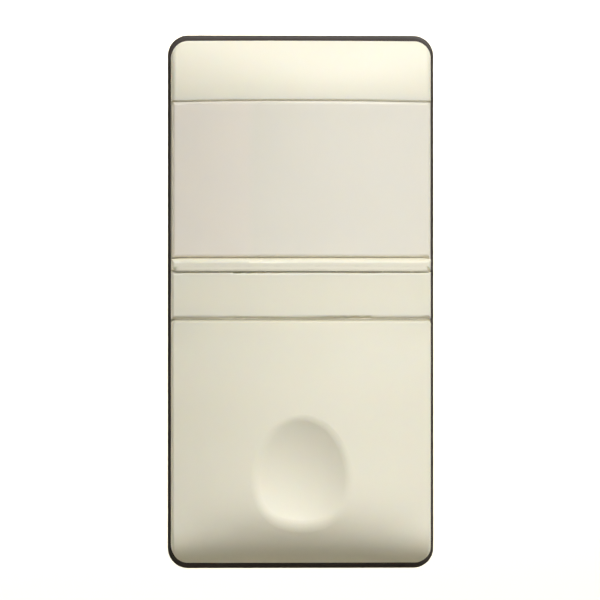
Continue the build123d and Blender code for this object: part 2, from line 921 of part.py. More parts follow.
# Push switch under the key, with a long plunger
with BuildPart() as push_switch_body:
    with BuildSketch(facing(-sensor_board_reach)):
        with Locations((0, button_z)):
            RectangleRounded(switch_size, switch_size, least_corner)
    extrude(amount=switch_height)
    with BuildSketch(facing(switch_height - sensor_board_reach)):
        with Locations((0, button_z)):
            Circle(plunger_radius + pin_clear)
    extrude(amount=-switch_well, mode=Mode.SUBTRACT)
push_switch_body.part.label = "push_switch_body"
export_step(push_switch_body.part, "parts/push_switch_body.step")

with BuildPart() as push_switch_plunger:
    with BuildSketch(facing(switch_height - plunger_foot - sensor_board_reach)):
        with Locations((0, button_z)):
            Circle(plunger_radius)
    extrude(amount=plunger_tip + sensor_board_reach - switch_height + plunger_foot)
    chamfer(edges().group_by(Axis.Y)[0], least_corner)
push_switch_plunger.part.label = "push_switch_plunger"
export_step(push_switch_plunger.part, "parts/push_switch_plunger.step")

# Controller chip on the back of the sensor board
with BuildPart() as controller_chip:
    with BuildSketch(facing(-sensor_board_back)):
        with Locations((0, chip_z)):
            Rectangle(chip_width, chip_height)
    extrude(amount=-chip_thick)
controller_chip.part.label = "controller_chip"
export_step(controller_chip.part, "parts/controller_chip.step")

# The pin row that joins the two boards
link_length = link_pitch * link_count
link_socket_height = headroom - link_header_thick - link_socket_gap
link_pin_depth = link_socket_height - link_socket_floor
socket_front = power_board_reach - link_socket_height

with BuildPart() as board_link_header:
    with BuildSketch(facing(-sensor_board_back)):
        with Locations((0, link_z)):
            Rectangle(link_length, link_bar)
            with GridLocations(link_pitch, 0, link_count, 1):
                Rectangle(link_hole, link_hole, mode=Mode.SUBTRACT)
    extrude(amount=-link_header_thick)
board_link_header.part.label = "board_link_header"
export_step(board_link_header.part, "parts/board_link_header.step")

with BuildPart() as board_link_pins:
    with BuildSketch(facing(-sensor_board_back)):
        with Locations((0, link_z)):
            with GridLocations(link_pitch, 0, link_count, 1):
                Rectangle(link_pin, link_pin)
    extrude(amount=sensor_board_back - socket_front - link_pin_depth)
board_link_pins.part.label = "board_link_pins"
export_step(board_link_pins.part, "parts/board_link_pins.step")

with BuildPart() as board_link_socket:
    with BuildSketch(facing(-power_board_reach)):
        with Locations((0, link_z)):
            Rectangle(link_length, link_bar)
    extrude(amount=link_socket_height)
    with BuildSketch(facing(-socket_front)):
        with Locations((0, link_z)):
            with GridLocations(link_pitch, 0, link_count, 1):
                Rectangle(link_hole, link_hole)
    extrude(amount=-link_pin_depth - side_gap, mode=Mode.SUBTRACT)
board_link_socket.part.label = "board_link_socket"
export_step(board_link_socket.part, "parts/board_link_socket.step")

# Power board, with slots for the legs of the terminal bars
bar_mid_z = (bar_bottom_z + bar_top_z) / 2
with BuildPart() as power_board:
    with BuildSketch(facing(-power_board_reach)):
        Rectangle(2 * power_board_half_width, 2 * power_board_half_height)
        with GridLocations(2 * terminal_x, 2 * bar_mid_z, 2, 2):
            Rectangle(
                bar_leg_width + 2 * bar_leg_gap,
                bar_thick + 2 * bar_leg_gap,
                mode=Mode.SUBTRACT,
            )
    extrude(amount=-board_thick)
power_board.part.label = "power_board"
export_step(power_board.part, "parts/power_board.step")

# Relay, capacitors, varistor, fuse and resistor stand side by side on the power board
resistor_z = link_z + link_bar / 2 + resistor_radius + part_gap
resistor_top_z = resistor_z + resistor_radius + part_gap
varistor_x = varistor_side + varistor_thick / 2 - inner_half
varistor_radius = (headroom - varistor_stand - varistor_headroom) / 2
varistor_z = resistor_top_z + varistor_radius
fuse_x = varistor_x + varistor_thick / 2 + part_gap + fuse_width / 2
fuse_z = resistor_top_z + fuse_height / 2
smoothing_low_x = fuse_x + fuse_width / 2 + smoothing_gap
smoothing_radius = (inner_half - smoothing_side - smoothing_low_x) / 2
smoothing_x = smoothing_low_x + smoothing_radius
smoothing_z = resistor_top_z + smoothing_radius
relay_foot_z = max(fuse_z + fuse_height / 2, varistor_z + varistor_radius) + part_gap
relay_height = power_board_half_height - relay_end - relay_foot_z
relay_z = relay_foot_z + relay_height / 2
relay_x = relay_side + relay_width / 2 - inner_half
film_low_x = relay_x + relay_width / 2 + film_gap
film_width = inner_half - film_side - film_low_x
film_x = film_low_x + film_width / 2
film_foot_z = smoothing_z + smoothing_radius + film_foot_gap
film_height = power_board_half_height - film_end - film_foot_z
film_z = film_foot_z + film_height / 2
smoothing_tall = headroom - smoothing_headroom

with BuildPart() as relay:
    with BuildSketch(facing(-power_board_reach)):
        with Locations((relay_x, relay_z)):
            RectangleRounded(relay_width, relay_height, relay_round)
    extrude(amount=headroom - relay_headroom)
    chamfer(edges().group_by(Axis.Y)[0], relay_round / 2)
relay.part.label = "relay"
export_step(relay.part, "parts/relay.step")

with BuildPart() as x2_capacitor:
    with BuildSketch(facing(-power_board_reach)):
        with Locations((film_x, film_z)):
            RectangleRounded(film_width, film_height, film_round)
    extrude(amount=headroom - film_headroom)
x2_capacitor.part.label = "x2_capacitor"
export_step(x2_capacitor.part, "parts/x2_capacitor.step")

with BuildPart() as smoothing_capacitor:
    with BuildSketch(Plane.XY.offset(smoothing_z)):
        can_axis = smoothing_x
        crimp_y = power_board_reach - 2 * smoothing_radius / 3
        can_front = power_board_reach - smoothing_tall
        with BuildLine():
            Polyline(
                (can_axis + smoothing_radius, crimp_y - smoothing_crimp),
                (can_axis + smoothing_radius, can_front + smoothing_crimp),
                (can_axis + smoothing_radius - smoothing_crimp, can_front),
                (can_axis, can_front),
                (can_axis, power_board_reach),
                (can_axis + smoothing_radius, power_board_reach),
                (can_axis + smoothing_radius, crimp_y + smoothing_crimp),
            )
            ThreePointArc(
                (can_axis + smoothing_radius, crimp_y + smoothing_crimp),
                (can_axis + smoothing_radius - smoothing_crimp, crimp_y),
                (can_axis + smoothing_radius, crimp_y - smoothing_crimp),
            )
        make_face()
    revolve(axis=Axis((can_axis, 0, smoothing_z), (0, 1, 0)))
smoothing_capacitor.part.label = "smoothing_capacitor"
export_step(smoothing_capacitor.part, "parts/smoothing_capacitor.step")

# Varistor disc on two straight leads
with BuildPart() as varistor:
    disc_reach = power_board_reach - varistor_stand - varistor_radius
    with BuildSketch(Plane.YZ.offset(varistor_x)):
        with Locations((disc_reach, varistor_z)):
            Circle(varistor_radius)
    extrude(amount=varistor_thick / 2, both=True)
    fillet(edges(), varistor_thick / 4)
    with BuildSketch(facing(-power_board_reach)):
        with Locations((varistor_x, varistor_z)):
            with GridLocations(0, varistor_radius, 1, 2):
                Circle(wire_radius)
    extrude(amount=varistor_stand + varistor_radius)
varistor.part.label = "varistor"
export_step(varistor.part, "parts/varistor.step")

with BuildPart() as fuse:
    with BuildSketch(facing(-power_board_reach)):
        with Locations((fuse_x, fuse_z)):
            RectangleRounded(fuse_width, fuse_height, least_corner)
    extrude(amount=headroom - fuse_headroom)
    chamfer(edges().group_by(Axis.Y)[0], least_corner)
fuse.part.label = "fuse"
export_step(fuse.part, "parts/fuse.step")

# Dropper resistor: a dog-bone body on two bent leads
with BuildPart() as dropper_resistor:
    resistor_reach = power_board_reach - resistor_stand - resistor_radius
    half_body = resistor_length / 2
    cap_length_x = resistor_length / 5
    with BuildSketch(Plane.XY.offset(resistor_z)):
        neck_y = resistor_reach - resistor_radius + resistor_neck
        cap_y = resistor_reach - resistor_radius
        with BuildLine():
            Polyline(
                (-half_body, resistor_reach),
                (-half_body, cap_y),
                (-half_body + cap_length_x, cap_y),
                (-half_body + cap_length_x + resistor_neck, neck_y),
                (half_body - cap_length_x - resistor_neck, neck_y),
                (half_body - cap_length_x, cap_y),
                (half_body, cap_y),
                (half_body, resistor_reach),
                close=True,
            )
        make_face()
    revolve(axis=Axis((0, resistor_reach, resistor_z), (1, 0, 0)))
    with BuildLine() as lead:
        FilletPolyline(
            (half_body - wire_turn / 2, resistor_reach, resistor_z),
            (half_body + wire_turn, resistor_reach, resistor_z),
            (half_body + wire_turn, power_board_reach, resistor_z),
            radius=resistor_radius / 2,
        )
    with BuildSketch(Plane(lead.line @ 0, z_dir=lead.line % 0)):
        Circle(wire_radius)
    bent = sweep(path=lead.line)
    mirror(bent, about=Plane.YZ)
dropper_resistor.part.label = "dropper_resistor"
export_step(dropper_resistor.part, "parts/dropper_resistor.step")

# Terminal blocks: each holds two rising cages, their bars and their captive screws
with BuildPart() as terminal_block_top:
    block_mid_z = (block_foot_z + block_top_z) / 2
    with BuildSketch(facing(-block_front_reach)):
        with Locations((0, block_mid_z)):
            Rectangle(2 * power_board_half_width, block_top_z - block_foot_z)
    extrude(amount=-block_length)
    chamber_floor_z = block_foot_z + block_foot_wall
    with BuildSketch(facing(-block_back_reach - overrun)):
        with Locations((0, (chamber_floor_z + chamber_top_z) / 2)):
            with GridLocations(2 * terminal_x, 0, 2, 1):
                Rectangle(cage_width + 2 * cage_gap, chamber_top_z - chamber_floor_z)
    extrude(amount=cage_length + 2 * cage_gap + overrun, mode=Mode.SUBTRACT)
    with BuildSketch(facing(-block_front_reach + overrun)):
        with Locations((0, bar_mid_z)):
            with GridLocations(2 * terminal_x, 0, 2, 1):
                Rectangle(
                    bar_leg_width + 2 * bar_leg_gap, bar_thick + 2 * bar_leg_gap
                )
    extrude(amount=-block_length / 2 - overrun, mode=Mode.SUBTRACT)
    with BuildSketch(Plane.XY.offset(chamber_top_z - overrun)):
        with Locations((0, cage_mid_reach)):
            with GridLocations(2 * terminal_x, 0, 2, 1):
                Circle(screw_radius + screw_clear)
    extrude(amount=shoulder_thick + 2 * overrun, mode=Mode.SUBTRACT)
    with BuildSketch(Plane.XY.offset(head_seat_z)):
        with Locations((0, cage_mid_reach)):
            with GridLocations(2 * terminal_x, 0, 2, 1):
                Circle(screw_head + head_gap)
    extrude(amount=block_top_z - head_seat_z + overrun, mode=Mode.SUBTRACT)
terminal_block_top.part.label = "terminal_block_top"
export_step(terminal_block_top.part, "parts/terminal_block_top.step")

with BuildPart() as terminal_block_bottom:
    mirror(terminal_block_top.part, about=Plane.XY)
terminal_block_bottom.part.label = "terminal_block_bottom"
export_step(terminal_block_bottom.part, "parts/terminal_block_bottom.step")

# Fixed bars: each cage pulls the wire up against one
cage_front_reach = cage_back_reach - cage_length
with BuildPart() as terminal_bars:
    bar_front = cage_front_reach - cage_gap + side_gap
    leg_front = power_board_reach
    with BuildSketch(Plane.XY.offset(bar_bottom_z)):
        with Locations((0, (bar_front + cage_back_reach) / 2)):
            with GridLocations(2 * terminal_x, 0, 2, 1):
                Rectangle(bar_width, cage_back_reach - bar_front)
        with Locations((0, (leg_front + bar_front) / 2)):
            with GridLocations(2 * terminal_x, 0, 2, 1):
                Rectangle(bar_leg_width, bar_front - leg_front)
    top_bars = extrude(amount=bar_thick)
    mirror(top_bars, about=Plane.XY)
terminal_bars.part.label = "terminal_bars"
export_step(terminal_bars.part, "parts/terminal_bars.step")


def rising_cage(x):
    """A square cage round the bar, with the screw's hole through its top."""
    with BuildPart() as cage:
        with BuildSketch(facing(-cage_back_reach)):
            with Locations((x, (cage_bottom_z + cage_top_z) / 2)):
                Rectangle(cage_width, cage_top_z - cage_bottom_z)
                Rectangle(cage_width - 2 * cage_wall, cage_window, mode=Mode.SUBTRACT)
        extrude(amount=cage_length)
        with BuildSketch(Plane.XY.offset(cage_top_in_z - overrun)):
            with Locations((x, cage_mid_reach)):
                Circle(screw_radius + screw_clear)
        extrude(amount=cage_wall + 2 * overrun, mode=Mode.SUBTRACT)
    return cage.part


def captive_screw(x):
    """A slotted screw whose tip stands on the bar and whose head sits on the shoulder."""
    with BuildPart() as screw:
        with BuildSketch(Plane.XY.offset(bar_top_z + seat_gap)):
            with Locations((x, cage_mid_reach)):
                Circle(screw_radius)
        extrude(amount=head_seat_z - bar_top_z)
        with BuildSketch(Plane.XY.offset(head_seat_z + seat_gap)):
            with Locations((x, cage_mid_reach)):
                Circle(screw_head)
        extrude(amount=screw_head_height)
        with BuildSketch(Plane.XY.offset(head_seat_z + seat_gap + screw_head_height)):
            with Locations((x, cage_mid_reach)):
                Rectangle(2 * screw_head + overrun, screw_slot)
        extrude(amount=-screw_slot_depth, mode=Mode.SUBTRACT)
    return screw.part


for number in range(4):
    x = terminal_x if number % 2 else -terminal_x
    cage_form = rising_cage(x)
    screw_form = captive_screw(x)
    with BuildPart() as terminal_cage:
        if number < 2:
            add(cage_form)
        else:
            mirror(cage_form, about=Plane.XY)
    terminal_cage.part.label = f"terminal_cage_{number + 1}"
    export_step(terminal_cage.part, f"parts/terminal_cage_{number + 1}.step")

    with BuildPart() as terminal_screw:
        if number < 2:
            add(screw_form)
        else:
            mirror(screw_form, about=Plane.XY)
    terminal_screw.part.label = f"terminal_screw_{number + 1}"
    export_step(terminal_screw.part, f"parts/terminal_screw_{number + 1}.step")

# Rear housing: rim and box in one moulding, open at the rear
with BuildPart() as rear_housing:
    with BuildSketch(facing(0)):
        RectangleRounded(rim_width, rim_height, rim_corner)
    extrude(amount=rim_thick)
    fillet(edges().group_by(Axis.Y)[0], rim_round)
    with BuildSketch(facing(0)):
        RectangleRounded(box_width, box_height, box_corner)
    extrude(amount=-box_length)
    with BuildSketch(facing(rim_thick + overrun)):
        Rectangle(2 * inner_half, 2 * inner_half_height)
    extrude(amount=-rim_thick - box_length - 2 * overrun, mode=Mode.SUBTRACT)
    with BuildSketch(facing(-power_board_reach)):
        with GridLocations(2 * inner_half, 2 * shelf_z, 2, 2):
            Rectangle(2 * shelf_width, shelf_length)
    extrude(amount=shelf_thick)
    with BuildSketch(facing(rim_thick)):
        with GridLocations(2 * fixing_x, 2 * fixing_z, 2, 2):
            Rectangle(2 * fixing_boss, 2 * fixing_boss)
    extrude(amount=-rim_thick - fixing_boss_length)
    with BuildSketch(facing(rim_thick + overrun)):
        with GridLocations(2 * fixing_x, 2 * fixing_z, 2, 2):
            Circle(fixing_radius + pin_clear)
    extrude(amount=-overrun - fixing_length - side_gap, mode=Mode.SUBTRACT)
    with BuildSketch(Plane.XY.offset(-box_height / 2 - overrun)):
        hook_end = latch_reach + window_gap
        with Locations((0, (hook_start - window_gap + hook_end) / 2)):
            with GridLocations(2 * latch_x, 0, 2, 1):
                Rectangle(
                    latch_width + 2 * window_gap, hook_end - hook_start + window_gap
                )
        with Locations((0, cage_mid_reach)):
            with GridLocations(2 * terminal_x, 0, 2, 1):
                Circle(driver_hole)
    extrude(amount=box_height + 2 * overrun, mode=Mode.SUBTRACT)
    with BuildSketch(Plane.YZ.offset(-box_width / 2 - overrun)):
        with Locations((vent_reach, 0)):
            with GridLocations(vent_pitch, 0, vent_count, 1):
                Rectangle(vent_width, vent_length)
        with Locations((box_length - cover_thick / 2, 0)):
            with GridLocations(0, 2 * clip_z, 1, 2):
                Rectangle(clip_thick + 2 * cover_gap, clip_length + 2 * cover_gap)
    extrude(amount=box_width + 2 * overrun, mode=Mode.SUBTRACT)
    with BuildSketch(Plane.XY.offset(-box_height / 2 - overrun)):
        slit_front = frame_thick / 4
        slit_middle = slit_front + tongue_length / 2
        with Locations((0, slit_middle)):
            Rectangle(tongue_width + 2 * tongue_slit, tongue_length)
        with Locations((0, slit_middle + tongue_slit)):
            Rectangle(tongue_width, tongue_length, mode=Mode.SUBTRACT)
    extrude(amount=box_wall + 2 * overrun, mode=Mode.SUBTRACT)
    with BuildSketch(Plane.YZ):
        tooth_front = frame_thick + tooth_gap
        tooth_foot = box_height / 2 - box_wall / 2
        tooth_crest = box_height / 2 + tooth_height
        with BuildLine():
            Polyline(
                (tooth_front, tooth_foot),
                (tooth_front, tooth_crest),
                (tooth_front + tooth_length / 3, tooth_crest),
                (tooth_front + tooth_length, tooth_foot),
                close=True,
            )
        make_face()
    tooth = extrude(amount=tooth_width / 2, both=True)
    mirror(tooth, about=Plane.XY)
rear_housing.part.label = "rear_housing"
export_step(rear_housing.part, "parts/rear_housing.step")

# Rear cover: clipped into the box, with a funnelled entry for each wire
with BuildPart() as rear_cover:
    with BuildSketch(facing(-cover_front_reach)):
        Rectangle(2 * (inner_half - cover_gap), 2 * (inner_half_height - cover_gap))
    extrude(amount=-cover_thick)
    with BuildSketch(facing(-cover_front_reach - cover_thick / 2)):
        with GridLocations(2 * (inner_half - cover_gap), 2 * clip_z, 2, 2):
            Rectangle(2 * clip_height, clip_length)
    extrude(amount=clip_thick / 2, both=True)
    rear_face = Plane((0, box_length, 0), x_dir=(1, 0, 0), z_dir=(0, 1, 0))
    with Locations(rear_face):
        with GridLocations(2 * terminal_x, 2 * wire_z, 2, 2):
            CounterSinkHole(wire_radius_in, wire_funnel, counter_sink_angle=90)
rear_cover.part.label = "rear_cover"
export_step(rear_cover.part, "parts/rear_cover.step")
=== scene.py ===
import math

import bmesh
import bpy
from mathutils import Matrix, Vector


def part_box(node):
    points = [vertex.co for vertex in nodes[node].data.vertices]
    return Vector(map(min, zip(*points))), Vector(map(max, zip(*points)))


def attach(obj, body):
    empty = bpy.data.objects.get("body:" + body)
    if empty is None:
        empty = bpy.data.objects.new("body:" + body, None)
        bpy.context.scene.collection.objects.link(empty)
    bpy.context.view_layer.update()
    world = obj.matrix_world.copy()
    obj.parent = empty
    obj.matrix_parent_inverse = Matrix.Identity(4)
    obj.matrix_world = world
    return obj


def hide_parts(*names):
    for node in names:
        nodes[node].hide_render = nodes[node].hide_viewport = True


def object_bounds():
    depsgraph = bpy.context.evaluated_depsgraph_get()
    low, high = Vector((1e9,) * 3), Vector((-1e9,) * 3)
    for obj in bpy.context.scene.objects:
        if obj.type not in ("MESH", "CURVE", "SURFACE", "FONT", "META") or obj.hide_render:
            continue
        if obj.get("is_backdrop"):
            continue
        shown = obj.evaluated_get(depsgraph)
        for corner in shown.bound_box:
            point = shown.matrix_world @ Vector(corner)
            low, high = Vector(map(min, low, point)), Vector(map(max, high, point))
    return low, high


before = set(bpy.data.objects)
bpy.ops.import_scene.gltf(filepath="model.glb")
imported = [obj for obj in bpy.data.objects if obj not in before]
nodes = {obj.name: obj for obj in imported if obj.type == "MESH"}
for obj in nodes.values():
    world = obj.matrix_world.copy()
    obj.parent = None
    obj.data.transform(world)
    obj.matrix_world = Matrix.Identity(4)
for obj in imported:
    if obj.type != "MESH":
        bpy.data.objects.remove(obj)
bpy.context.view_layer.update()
scene = bpy.context.scene
mm = 0.001

# Rear housing and rear cover
# The box that goes through the wall plate, with its snap teeth and vents, and the cover that
# clips into its back. Glass-filled nylon from a spark-eroded mould: dark, dull, fine-grained.
# The cover carries the numbers of the four wire entries, sunk into it.


def srgb(code):
    """The linear colour of an sRGB hex code."""
    parts = [int(code[i:i + 2], 16) / 255 for i in (0, 2, 4)]
    return [p / 12.92 if p <= 0.04045 else ((p + 0.055) / 1.055) ** 2.4 for p in parts] + [1]


def add_node(tree, kind, fields=(), sockets=(), links=()):
    """Adds a shader node with its settings, its socket values and its incoming links."""
    node = tree.nodes.new("ShaderNode" + kind)
    for name, value in dict(fields).items():
        setattr(node, name, value)
    for name, value in dict(sockets).items():
        node.inputs[name].default_value = value
    for name, source in dict(links).items():
        tree.links.new(source, node.inputs[name])
    return node


def grained(name, shade, other, drift_mm, grain_mm, depth_mm, stretch=(1, 1, 1), **settings):
    """A finish of two close shades that drift, over a fine grain that may be drawn out.

    A mould's grain of a tenth of a millimetre would not show, so plastics have a coarser one.
    """
    material = bpy.data.materials.new(name)
    material.use_nodes = True
    tree = material.node_tree
    shader = tree.nodes["Principled BSDF"]
    place = add_node(tree, "TexCoord").outputs["Object"]
    drift = add_node(
        tree, "TexNoise", (), {"Scale": 1 / (drift_mm * mm), "Detail": 2.0}, {"Vector": place}
    )
    tint = add_node(tree, "Mix", {"data_type": "RGBA"}, (), {"Factor": drift.outputs["Fac"]})
    tint.name = "tint"
    tint.inputs["A"].default_value = srgb(shade)
    tint.inputs["B"].default_value = srgb(other)
    tree.links.new(tint.outputs["Result"], shader.inputs["Base Color"])
    drawn = add_node(tree, "Mapping", (), {"Scale": stretch}, {"Vector": place})
    grain = add_node(
        tree,
        "TexNoise",
        (),
        {"Scale": 1 / (grain_mm * mm), "Detail": 2.0},
        {"Vector": drawn.outputs["Vector"]},
    )
    bump = add_node(
        tree, "Bump", (), {"Distance": depth_mm * mm}, {"Height": grain.outputs["Fac"]}
    )
    tree.links.new(bump.outputs["Normal"], shader.inputs["Normal"])
    for socket, value in settings.items():
        shader.inputs[socket.replace("_", " ")].default_value = value
    return material


def dress(finish, *names):
    """Gives CAD pieces their finish."""
    for name in names:
        for entry in nodes[name].material_slots:
            entry.material = finish


crease = math.radians(35)


def seat(name, form, finish, body):
    """Makes a finished form a piece that moves with a body."""
    mesh = bpy.data.meshes.new(name)
    form.to_mesh(mesh)
    form.free()
    old_normals = mesh.attributes.get("custom_normal")
    if old_normals:
        mesh.attributes.remove(old_normals)
    mesh.shade_smooth()
    mesh.set_sharp_from_angle(angle=crease)
    mesh.materials.append(finish)
    made = bpy.data.objects.new(name, mesh)
    scene.collection.objects.link(made)
    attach(made, body)
    return made


def cut_from(form, cutter):
    """Takes the cutter's form out of another and gives back what stays."""
    pair = []
    for label, shape in (("stays", form), ("goes", cutter)):
        mesh = bpy.data.meshes.new(label)
        shape.to_mesh(mesh)
        shape.free()
        pair.append(bpy.data.objects.new(label, mesh))
        scene.collection.objects.link(pair[-1])
    cut = pair[0].modifiers.new("cut", "BOOLEAN")
    cut.operation = "DIFFERENCE"
    cut.solver = "EXACT"
    cut.object = pair[1]
    depsgraph = bpy.context.evaluated_depsgraph_get()
    left = bpy.data.meshes.new_from_object(pair[0].evaluated_get(depsgraph))
    result = bmesh.new()
    result.from_mesh(left)
    for each in pair:
        bpy.data.meshes.remove(each.data)
    bpy.data.meshes.remove(left)
    return result


dark_nylon = grained(
    "spark_eroded_glass_filled_nylon", "302824", "382F2A", 6, 0.35, 0.02,
    Roughness=0.52, IOR=1.53,
)
dress(dark_nylon, "rear_housing", "rear_cover")

digit_height = 2.6 * mm
font_size = 1.4 * digit_height
digit_depth = 0.25 * mm
digit_z = 6.9 * mm
entry_x = 5.15 * mm
weld = 0.0005 * mm
cover_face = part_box("rear_cover")[1].y
numbers = bmesh.new()
for digit, side, end in (("1", -1, 1), ("2", 1, 1), ("3", -1, -1), ("4", 1, -1)):
    curve = bpy.data.curves.new("digit", "FONT")
    curve.body = digit
    curve.size = font_size
    curve.align_x = "CENTER"
    curve.align_y = "CENTER"
    curve.extrude = digit_depth
    holder = bpy.data.objects.new("digit", curve)
    scene.collection.objects.link(holder)
    shape = bpy.data.meshes.new_from_object(
        holder.evaluated_get(bpy.context.evaluated_depsgraph_get())
    )
    shape.transform(
        Matrix.Translation((side * entry_x, cover_face, end * digit_z))
        @ Matrix.Rotation(math.pi, 4, "Z")
        @ Matrix.Rotation(math.pi / 2, 4, "X")
    )
    numbers.from_mesh(shape)
    bpy.data.meshes.remove(shape)
    bpy.data.curves.remove(curve)
bmesh.ops.remove_doubles(numbers, verts=numbers.verts, dist=2 * weld)
plate = bmesh.new()
plate.from_mesh(nodes["rear_cover"].data)
bmesh.ops.remove_doubles(plate, verts=plate.verts, dist=weld)
numbered_cover = seat(
    "numbered_rear_cover", cut_from(plate, numbers), dark_nylon, "housing"
)
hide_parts("rear_cover")

# Terminal blocks, bars, cages and screws
# Two black nylon blocks hold four rising cages of zinc-plated steel round stamped brass bars.
# A cheese-head screw draws each cage up: its thread is rolled, its slot sawn, its rim turned.
# Plating and stamping leave a soft shine that is drawn out along the metal.
black_nylon = grained(
    "moulded_black_nylon", "161617", "1B1B1D", 7, 0.3, 0.01, Roughness=0.5, IOR=1.53
)
zinc_plate = grained(
    "zinc_plated_steel", "C2C3BE", "B4B6B3", 2.5, 0.06, 0.004, (1, 1, 6),
    Metallic=1.0, Roughness=0.34,
)
stamped_brass = grained(
    "stamped_brass", "D3B273", "C2A062", 3, 0.05, 0.003, (1, 8, 1), Metallic=1.0, Roughness=0.3
)
terminals = (1, 2, 3, 4)
dress(black_nylon, "terminal_block_top", "terminal_block_bottom")
dress(stamped_brass, "terminal_bars")
for n in terminals:
    dress(zinc_plate, "terminal_cage_%d" % n, "terminal_screw_%d" % n)

thread_pitch = 0.5 * mm
thread_turns = 8
thread_start = 0.45 * mm
thread_root = 1.24 * mm
thread_crest = 1.48 * mm
root_half_share, crest_half_share = 0.42, 0.08
shank_radius = 1.5 * mm
head_radius = 2.2 * mm
head_height = 1.4 * mm
slot_width = 0.6 * mm
slot_depth = 0.7 * mm
edge_break = 0.14 * mm


def turned(form, outline, steps=32):
    """Turns an outline of (radius, height) about Z into a closed form."""
    points = [form.verts.new((radius, 0, height)) for radius, height in outline]
    lines = [form.edges.new(pair) for pair in zip(points, points[1:])]
    bmesh.ops.spin(
        form,
        geom=points + lines,
        cent=(0, 0, 0),
        axis=(0, 0, 1),
        angle=2 * math.pi,
        steps=steps,
        use_merge=True,
    )
    bmesh.ops.remove_doubles(form, verts=form.verts, dist=weld)
    bmesh.ops.recalc_face_normals(form, faces=form.faces)


def block(form, low, high, bevel=0.0):
    """Adds a box between two corners, with its edges broken."""
    low, high = Vector(low), Vector(high)
    place = Matrix.Translation((low + high) / 2) @ Matrix.Diagonal((*(high - low), 1))
    made = bmesh.ops.create_cube(form, size=1, matrix=place)
    if bevel:
        edges = list({edge for vert in made["verts"] for edge in vert.link_edges})
        bmesh.ops.bevel(
            form,
            geom=edges,
            offset=bevel,
            segments=2,
            profile=0.5,
            affect="EDGES",
            material=-1,
        )


screw_low, screw_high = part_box("terminal_screw_1")
screw_length = screw_high.z - screw_low.z
shank_length = screw_length - head_height
screw = bmesh.new()
turned(
    screw,
    (
        (0, 0),
        (thread_root - 2 * edge_break, 0),
        (thread_root, 2 * edge_break),
        (thread_root, shank_length - 2 * edge_break),
        (shank_radius, shank_length - edge_break),
        (shank_radius, shank_length),
        (head_radius, shank_length),
        (head_radius, screw_length - edge_break),
        (head_radius - edge_break, screw_length),
        (0, screw_length),
    ),
)
saw = bmesh.new()
block(
    saw,
    (-2 * head_radius, -slot_width / 2, screw_length - slot_depth),
    (2 * head_radius, slot_width / 2, screw_length + slot_depth),
)
screw = cut_from(screw, saw)
ridge = bmesh.new()
profile = (
    (thread_root, -root_half_share), (thread_crest, -crest_half_share),
    (thread_crest, crest_half_share), (thread_root, root_half_share),
)
corners = [
    ridge.verts.new((radius, 0, thread_start + share * thread_pitch)) for radius, share in profile
]
steps_a_turn = 20
bmesh.ops.spin(
    ridge,
    geom=[ridge.faces.new(corners)],
    cent=(0, 0, 0),
    axis=(0, 0, 1),
    dvec=(0, 0, thread_pitch / steps_a_turn),
    angle=2 * math.pi * thread_turns,
    steps=thread_turns * steps_a_turn,
)
bmesh.ops.remove_doubles(ridge, verts=ridge.verts, dist=weld)
bmesh.ops.recalc_face_normals(ridge, faces=ridge.faces)
rolled_thread = bpy.data.meshes.new("rolled_thread")
ridge.to_mesh(rolled_thread)
ridge.free()
screw.from_mesh(rolled_thread)
whole_screw = bpy.data.meshes.new("whole_screw")
screw.to_mesh(whole_screw)
screw.free()
for n in terminals:
    low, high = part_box("terminal_screw_%d" % n)
    middle = (low + high) / 2
    upright = middle.z > 0
    form = bmesh.new()
    form.from_mesh(whole_screw)
    bmesh.ops.transform(
        form,
        matrix=Matrix.Translation((middle.x, middle.y, low.z if upright else high.z))
        @ Matrix.Rotation(0 if upright else math.pi, 4, "X"),
        verts=form.verts,
    )
    made = seat("slotted_screw_%d" % n, form, zinc_plate, "screw_%d" % n)
    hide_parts("terminal_screw_%d" % n)

# Power board
# Glass-epoxy laminate under green solder resist, with copper tracks that show as a lighter
# green under it, sawn edges in the bare laminate's straw colour, and tin-soldered joints.
track_spacing = 3.2 * mm
track_width = 0.3 * mm
hole_radius = 0.32 * mm
sawn_skin = 0.02 * mm


